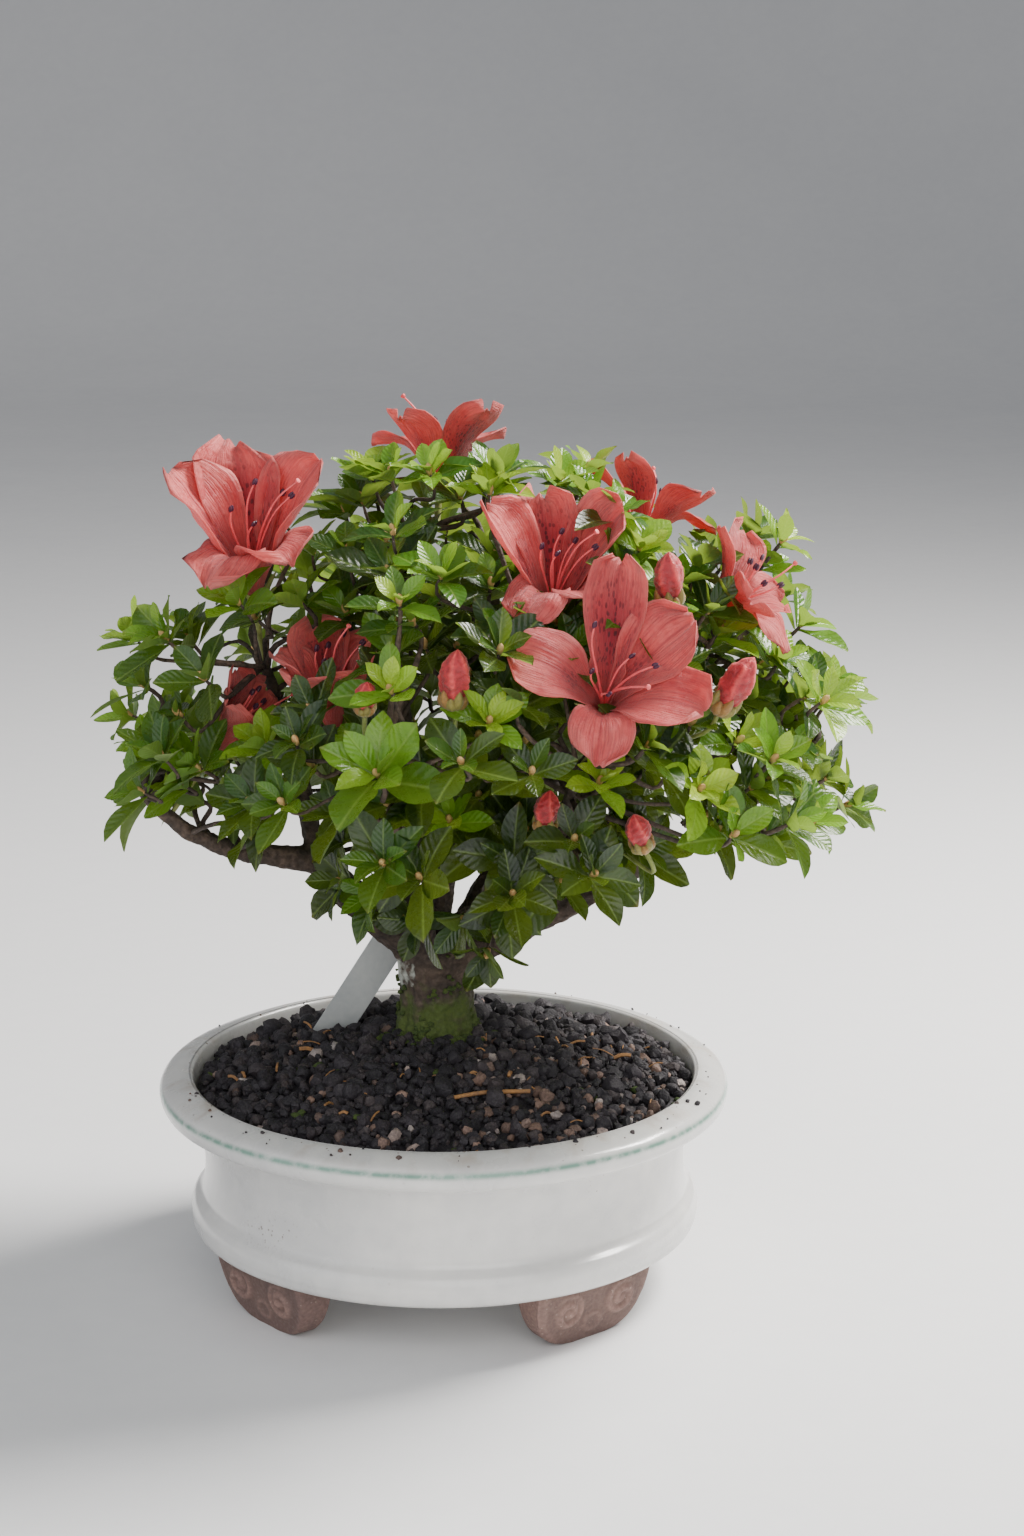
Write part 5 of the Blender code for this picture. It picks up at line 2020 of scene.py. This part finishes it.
@dataclass
class Flower:
    """One azalea flower: five ruffled lobes, a green cup, stamens and a pistil."""

    layout: Layout
    plan: FlowerPlan
    length: float = 29.0
    radius: float = 27.0
    rows: int = 22
    columns: int = 17
    wall: float = 0.25

    def frame(self) -> Matrix:
        """The flower's own frame, its axis along Z."""
        upright = stand(self.layout.tree(*self.plan.base), self.plan.direction)
        return upright @ Matrix.Rotation(radians(self.plan.turn), 4, "Z")

    def middle(self) -> Vector:
        """The middle of its bowl."""
        return self.frame() @ Vector((0, 0, self.length * self.plan.size * 0.72 * MM))

    def lobe(self, index: int, rng: Random) -> tuple[np.ndarray, list, dict[str, np.ndarray]]:
        """One lobe running down to the tube.

        Args:
            index: Which lobe; 0 is the upper, spotted one.
            rng: The source of small differences.

        Returns:
            Points, faces and per-point values.
        """
        size, wide = self.plan.size, self.plan.openness
        plan = self.plan.lobes[index]
        points, along, across, edge, blotch = [], [], [], [], []
        phase = rng.uniform(0, tau)
        stretch = plan.stretch * rng.uniform(0.96, 1.05)
        middle = radians(plan.angle)
        for row in range(self.rows):
            t = row / (self.rows - 1)
            rise = self.length * size * (0.02 + 0.98 * t**0.86)
            radius = 1.5 + 3.9 * min(1.0, t / 0.42) ** 0.8 + self.radius * wide * t**1.8 * 0.92
            if t > 0.42:
                out = (t - 0.42) / 0.58
                rise += self.length * (stretch - 1) * out * (1.15 - 0.5 * wide)
                radius += self.radius * wide * (stretch - 1) * out
                rise -= out**2 * self.length * (0.12 + 0.55 * plan.curl) * (0.25 + 0.75 * wide)
                radius += out**2 * plan.curl * self.radius * 0.22
            half = float(np.interp(t, (0, 0.12, 0.30, 0.42, 0.55, 0.68, 0.80, 0.89, 0.95, 0.985, 1.0),
                                   (1.5, 2.6, 5.2, 7.2, 9.8, 11.9, 12.8, 12.2, 10.2, 7.4, 3.4)))
            half *= size * (plan.width if t > 0.42 else 1.0) * (0.86 + 0.14 * wide)
            half = min(half, radius * 1.25)
            for k in range(self.columns):
                s = -1 + 2 * k / (self.columns - 1)
                angle = middle + s * half / radius
                lift = cos(s * pi / 2)
                frill = t**2.0 * abs(s) ** 1.4
                wave = sin(t * 10.0 + phase + s * 2.6) * frill * 1.9 + sin(s * 8 + phase * 2) * t**3 * 0.8
                away = radius - 1.2 * t * (1 - lift) * wide
                trough = -1.5 * exp(-((s / 0.15) ** 2)) * t * (1 - t) * 1.6
                overlap = 0.75 * s * min(1.0, t * 2)
                cup = 2.6 * (1 - lift) * t * (1.0 - 0.5 * wide)
                notch = 1.5 * t**8 * exp(-((s / 0.35) ** 2)) * (1.0 if index % 2 else 0.3)
                away -= notch * wide
                x = away * cos(angle)
                y = away * sin(angle)
                z = rise + (wave + trough + cup - notch) * size
                grain = noise(Vector((x, y, z)) * 0.15 + Vector((index * 7, phase, 0))) * 2.1 * t + overlap
                points.append((x + grain * cos(angle), y + grain * sin(angle), z + grain * 0.5))
                along.append(t)
                across.append(s)
                edge.append(max(abs(s), t))
                zone = exp(-(((t - 0.58) / 0.31) ** 2)) * exp(-((s / 0.78) ** 2))
                side = 0.55 * exp(-(((t - 0.46) / 0.15) ** 2)) * exp(-((s / 0.5) ** 2))
                blotch.append(zone if index == 0 else (side if index in (1, 4) else 0.0))
        values = {"along": np.array(along), "across": np.array(across), "edge": np.array(edge),
                  "blotch": np.array(blotch), "lobe": np.full(len(points), index * 3.7 + self.plan.number)}
        return np.array(points), grid_faces(self.rows, self.columns), values

    def petals(self, material: Material, rng: Random) -> Piece:
        """The corolla.

        Args:
            material: The petals' finish.
            rng: The source of small differences.

        Returns:
            The petals.
        """
        place = self.frame()
        draft = Draft()
        for index in range(5):
            points, faces, values = self.lobe(index, rng)
            spots = np.array([place @ (Vector(point) * MM) for point in points])
            draft.add(spots, faces, **values)
        piece = draft.piece("petals_%d" % self.plan.number, material)
        skin = piece.modifiers.new("petal_wall", "SOLIDIFY")
        skin.thickness = self.wall * MM
        skin.offset = 0.0
        return hand_in(piece, Slot.PETALS, "flower_%d_corolla" % self.plan.number)

    def bundle(self, material: Material, wood: Wood, rng: Random) -> Piece:
        """Stalk, cup, stamens and pistil in one piece.

        Args:
            material: Their finish.
            wood: The wood the stalk grows from.
            rng: The source of small differences.

        Returns:
            The piece.
        """
        place = self.frame()
        size = self.plan.size
        draft = Draft()
        fan = 0.20 + 0.30 * self.plan.openness

        def rod(path: Sequence[Vector], radii: Sequence[float], sides: int, tone: object) -> None:
            """Add a tube given in the flower's own frame.

            Args:
                path: Points along its middle, in mm.
                radii: Its radii in mm.
                sides: Points round it.
                tone: One tone, or one to each point of the path.
            """
            draft.rod([place @ (spot * MM) for spot in path], [r * MM for r in radii], sides,
                      tone=np.repeat(tone, sides) if np.ndim(tone) else tone)

        for index in range(6):
            angle = tau * index / 6 + rng.uniform(-0.25, 0.25)
            pistil = index == 5
            reach = self.length * size * (1.24 if pistil else rng.uniform(0.82, 1.04))
            spread = reach * fan * rng.uniform(0.55, 1.0)
            out = spoke(angle)
            up = Vector((0, 0, 1))
            lean = Vector((1, 0, 0)) * reach * 0.10
            path = smooth_path([up * 2, up * reach * 0.45 + out * spread * 0.25,
                                up * reach * 0.8 + out * spread * 0.7 + lean * 0.4,
                                up * reach * 0.98 + out * spread + lean * 1.4], 5)
            rod(path, [0.42 - 0.16 * k / len(path) for k in range(len(path))], 6,
                np.linspace(0.42, 0.68, len(path)))
            end, ahead = path[-1], (path[-1] - path[-2]).normalized()
            side = ahead.orthogonal().normalized()
            if pistil:
                rod([end - ahead * 0.2, end + ahead * 0.3, end + ahead * 0.9, end + ahead * 1.1],
                    [0.3, 0.75, 0.8, 0.3], 8, 0.62)
            else:
                for half in (-0.38, 0.38):
                    shift = side * half
                    rod([end - ahead * 1.0 + shift, end - ahead * 0.5 + shift, end + ahead * 0.4 + shift,
                         end + ahead * 1.1 + shift], [0.22, 0.52, 0.56, 0.25], 8, 1.0)
        cup = [Vector((0, 0, z)) for z in (-2.4, -1.6, -0.6, 0.4, 1.2)]
        rod(cup, [0.9, 1.7, 2.4, 2.6, 2.3], 16, 0.10)
        for index in range(5):
            angle = tau * (index + 0.5) / 5
            out = spoke(angle)
            rod(smooth_path([Vector((0, 0, -0.8)) + out * 1.6, Vector((0, 0, 3.0)) + out * 4.6,
                             Vector((0, 0, 5.5 * size)) + out * (7.0 + 2 * self.plan.openness)], 4),
                [1.1, 1.1, 1.05, 1.0, 0.9, 0.75, 0.55, 0.35, 0.1], 6, 0.06)
        root = place @ Vector((0, 0, -1.5 * MM))
        heading = (place.to_3x3() @ Vector((0, 0, 1))).normalized()
        start, normal, _, _ = wood.search.find_nearest(root - heading * 12 * MM)
        span = (root - start).length
        path = smooth_path([start - normal * 0.5 * MM, start + normal * span * 0.2 + (root - start) * 0.3,
                            root - heading * min(span * 0.4, 8 * MM), root], 5)
        draft.rod(path, [0.75 * MM + 0.45 * MM * k / len(path) for k in range(len(path))], 8, tone=0.1)
        piece = draft.piece("stalk_and_threads_%d" % self.plan.number, material, 60)
        return hand_in(piece, Slot.STALKS, "flower_%d_stalk" % self.plan.number)


@dataclass(frozen=True)
class BudPlan:
    """Where one closed bud is."""

    number: int
    base: tuple[float, float, float]
    direction: tuple[float, float, float]
    size: float


BUDS = (
    BudPlan(1, (4, -62, 63), (0.03, -0.20, 0.98), 1.0),
    BudPlan(2, (56, -46, 76), (-0.10, -0.20, 0.97), 0.95),
    BudPlan(3, (68, -52, 61), (0.50, -0.20, 0.85), 1.10),
    BudPlan(4, (26, -46, 42), (0.05, -0.20, 0.98), 0.72),
    BudPlan(5, (50, -46, 39), (-0.30, -0.30, 0.90), 0.72),
    BudPlan(6, (-17, -62, 62), (0.0, -0.30, 0.95), 0.55),
)


@dataclass
class FlowerBud:
    """A closed bud: folded, wrinkled petals over a scaly green cup."""

    layout: Layout
    plan: BudPlan
    length: float = 16.5
    radius: float = 4.5

    def frame(self) -> Matrix:
        """The bud's own frame, its axis along Z."""
        return stand(self.layout.tree(*self.plan.base), self.plan.direction)

    def build(self, material: Material, wood: Wood, rng: Random) -> Piece:
        """Shape the bud on its stalk.

        Args:
            material: The buds' finish.
            wood: The wood it grows from.
            rng: The source of small differences.

        Returns:
            The bud.
        """
        place = self.frame()
        length, radius = self.length * self.plan.size, self.radius * self.plan.size**0.5
        draft = Draft()
        rows, columns = 40, 48
        points, tones = [], []
        phase = rng.uniform(0, tau)
        for row in range(rows):
            t = row / (rows - 1)
            wide = float(np.interp(t, (0, 0.08, 0.25, 0.45, 0.65, 0.82, 0.93, 1.0),
                                   (0.45, 0.62, 0.86, 1.0, 0.95, 0.66, 0.34, 0.02)))
            for k in range(columns):
                a = tau * k / columns
                folds = sin(5 * a + 3.4 * t + phase)
                pleat = 0.14 * max(0.0, folds) ** 0.7 * (1 - 0.4 * t)
                wrinkle = noise(Vector((cos(a) * 2.2, sin(a) * 2.2, t * 13 + phase))) * 0.15
                reach = radius * wide * (0.93 + pleat + wrinkle)
                bend = 0.9 * t * t
                points.append(place @ (Vector((reach * cos(a) + bend, reach * sin(a), length * t)) * MM))
                # Painted shade: the petals are darker in the folds between the pleats than on their ridges,
                # and lighter towards the tip.
                tones.append(0.30 + 0.40 * max(0.0, folds) + 0.22 * t + wrinkle)
        draft.add(np.array(points), capped_faces(rows, columns), tone=np.clip(tones, 0.24, 1.0))
        scale = (0.34, 0.38, 0.4, 0.4, 0.36, 0.3, 0.22, 0.12, 0.03)
        for index in range(10):
            a = tau * index / 5 + (0.6 if index >= 5 else 0)
            tall = (0.30 if index < 5 else 0.17) * length
            out = spoke(a)
            path = smooth_path([out * radius * 0.25 + Vector((0, 0, -1.0)),
                                out * radius * 0.72 + Vector((0, 0, tall * 0.35)),
                                out * radius * 0.90 + Vector((0, 0, tall))], 4)
            draft.rod([place @ (spot * MM) for spot in path], [radius * r * MM for r in scale], 7,
                      tone=0.05 + 0.07 * (index % 2))
        root = place @ Vector((0, 0, -0.5 * MM))
        heading = (place.to_3x3() @ Vector((0, 0, 1))).normalized()
        start, normal, _, _ = wood.search.find_nearest(root - heading * 10 * MM)
        span = (root - start).length
        sag = Vector((0, span * 0.30, -span * 0.12))
        path = smooth_path([start - normal * 0.5 * MM, start + (root - start) * 0.45 + sag,
                            root - heading * min(span * 0.45, 9 * MM), root], 5)
        draft.rod(path, [(0.5 + 0.30 * k / len(path)) * MM for k in range(len(path))], 8, tone=0.0)
        return hand_in(draft.piece("bud_%d_folded" % self.plan.number, material), Slot.BUDS,
                       "bud_%d" % self.plan.number)


# ---------------- studio


@dataclass
class Studio:
    """Pale floor, soft lights and the camera."""

    layout: Layout
    lens: float = 75.0
    eye: tuple[float, float, float] = (21.5, -964.9, 393.9)
    pitch: float = 76.70

    def light(self, name: str, spot: Vector, aim: Vector, size: float, power: float, tint: Colour) -> None:
        """A soft square lamp.

        Args:
            name: Its name.
            spot: Where it hangs.
            aim: What it points at.
            size: The length of its side, in metres.
            power: Its power in watts.
            tint: Its colour.
        """
        lamp = bpy.data.lights.new(name, "AREA")
        lamp.size = size
        lamp.energy = power
        lamp.color = tint
        holder = bpy.data.objects.new(name, lamp)
        holder.location = spot
        holder.rotation_euler = (aim - spot).to_track_quat("-Z", "Y").to_euler()
        bpy.context.scene.collection.objects.link(holder)

    def build(self, material: Material) -> None:
        """Set the floor, world, lights and camera.

        Args:
            material: The floor's finish.
        """
        draft = Draft()
        rows, wide = 24, 3.0
        points = []
        for row in range(rows):
            t = row / (rows - 1)
            bend = max(0.0, (t - 0.62) / 0.38)
            y = -1.6 + 4.0 * min(t, 0.62) / 0.62 + sin(bend * pi / 2) * 0.9
            z = (1 - cos(bend * pi / 2)) * 1.8
            points += [(-wide, y, z), (0.0, y, z), (wide, y, z)]
        draft.add(np.array(points), grid_faces(rows, 3))
        floor = draft.piece("studio_floor", material)
        floor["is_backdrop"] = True
        world = bpy.data.worlds.new("soft_sky")
        world.use_nodes = True
        sky = world.node_tree.nodes["Background"]
        sky.inputs["Color"].default_value = (0.93, 0.95, 1.0, 1.0)
        sky.inputs["Strength"].default_value = 0.33
        bpy.context.scene.world = world
        aim = self.layout.at(10, 0, 150)
        self.light("key_lamp", self.layout.at(620, 260, 900), aim, 0.40, 34.0, (1.0, 0.97, 0.93))
        self.light("fill_lamp", self.layout.at(-800, -700, 620), aim, 1.1, 5.5, (0.93, 0.96, 1.0))
        self.light("front_lamp", self.layout.at(250, -1000, 520), aim, 0.9, 7.0, (1.0, 0.99, 0.97))
        view = bpy.data.cameras.new("front_view")
        view.lens = self.lens
        view.sensor_width = 36.0
        view.sensor_fit = "AUTO"
        camera = bpy.data.objects.new("front_view", view)
        camera.location = self.layout.at(*self.eye)
        camera.rotation_euler = (radians(self.pitch), 0.0, 0.0)
        bpy.context.scene.collection.objects.link(camera)
        bpy.context.scene.camera = camera


# ---------------- all together


@dataclass
class Bonsai:
    """The whole part: pot, feet, soil, label, wood, leaves, flowers and buds."""

    layout: Layout
    frame: dict
    effects: Effects = field(default_factory=Effects)
    feet: tuple[tuple[str, float], ...] = (
        ("front_right", -50.0), ("back_right", 40.0), ("back_left", 130.0), ("front_left", 220.0),
    )

    def pot(self) -> None:
        """Pot, feet, screen and clip."""
        GlazedPot(self.layout).build(GlazeFinish().build(self.effects))
        clay = ClayFinish().build(self.effects)
        for corner, angle in self.feet:
            ScrollFoot(self.layout, corner, angle).build(clay)
        kept = (
            ("drainage_screen", Slot.SCREEN,
             TonedFinish("screen_plastic", (0.02, 0.02, 0.022), (0.05, 0.05, 0.05))),
            ("screen_clip_wire", Slot.CLIP, TonedFinish("clip_wire", (0.45, 0.42, 0.40), (0.62, 0.58, 0.55),
                                                          (0.3, 0.5), 300.0, 0.0001, 1.0)),
        )
        for node, slot, finish in kept:
            piece = self.frame["nodes"][node]
            piece.data.materials.clear()
            piece.data.materials.append(finish.build(self.effects))
            LOG.info("%s, slot %s, keeps its shape", node, slot.value)

    def soil(self) -> None:
        """Gravel, moss, litter and the label."""
        moss = TonedFinish("cushion_moss", (0.025, 0.05, 0.010), (0.080, 0.115, 0.022), (0.85, 0.98), 420.0,
                           0.0008)
        litter = TonedFinish("dry_scraps", (0.42, 0.20, 0.06), (0.20, 0.11, 0.06), (0.7, 0.9), 160.0)
        GravelBed(self.layout).build(GravelFinish().build(self.effects), moss.build(self.effects),
                                     litter.build(self.effects))
        plastic = TonedFinish("milky_plastic", (0.56, 0.58, 0.58), (0.66, 0.67, 0.66), (0.3, 0.45), 60.0,
                              0.0002, 0.0, 0.45)
        StakeLabel(self.layout).build(plastic.build(self.effects))

    def tree(self) -> None:
        """Wood, leaves, flowers and buds."""
        bark = BarkFinish().build(self.effects)
        wood = Wood(self.layout, self.frame)
        wood.build(bark)
        moss = TonedFinish("trunk_moss", (0.022, 0.044, 0.008), (0.075, 0.105, 0.018), (0.85, 0.98), 420.0,
                           0.0008)
        wood.moss(moss.build(self.effects))
        rng = Random(SEED + 5)
        petal, stalk, folded = (finish().build(self.effects)
                                for finish in (PetalFinish, StalkFinish, BudFinish))
        clear = []
        for plan in FLOWERS:
            flower = Flower(self.layout, plan)
            flower.petals(petal, rng)
            flower.bundle(stalk, wood, rng)
            ahead = Vector(plan.direction) * 14 * MM + Vector((0, -34, 8)) * MM
            clear.append((flower.middle(), ahead, 17 * plan.size * (0.5 + 0.5 * plan.openness) * MM))
        for plan in BUDS:
            bud = FlowerBud(self.layout, plan)
            bud.build(folded, wood, rng)
            clear.append((bud.frame() @ Vector((0, 0, 8 * MM * plan.size)), Vector((0, -30, 6)) * MM,
                          7 * MM))
        tip = TonedFinish("end_bud_scales", (0.55, 0.42, 0.16), (0.62, 0.30, 0.12), (0.5, 0.7), 500.0)
        Crown(self.layout, wood, clear).build(LeafFinish().build(self.effects), bark,
                                              tip.build(self.effects))


def main() -> None:
    """Build every piece around the frame."""
    logging.basicConfig(level=logging.INFO, format="%(message)s")
    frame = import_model()
    layout = Layout().read()
    part = Bonsai(layout, frame)
    for name, step in (("pot", part.pot), ("soil", part.soil), ("tree", part.tree)):
        step()
        LOG.info("%s built", name)
    floor = TonedFinish("pale_floor", (0.80, 0.80, 0.80), (0.77, 0.77, 0.775), (0.6, 0.75), 12.0, 0.0002)
    Studio(layout).build(floor.build(part.effects))


if __name__ == "__main__":
    main()
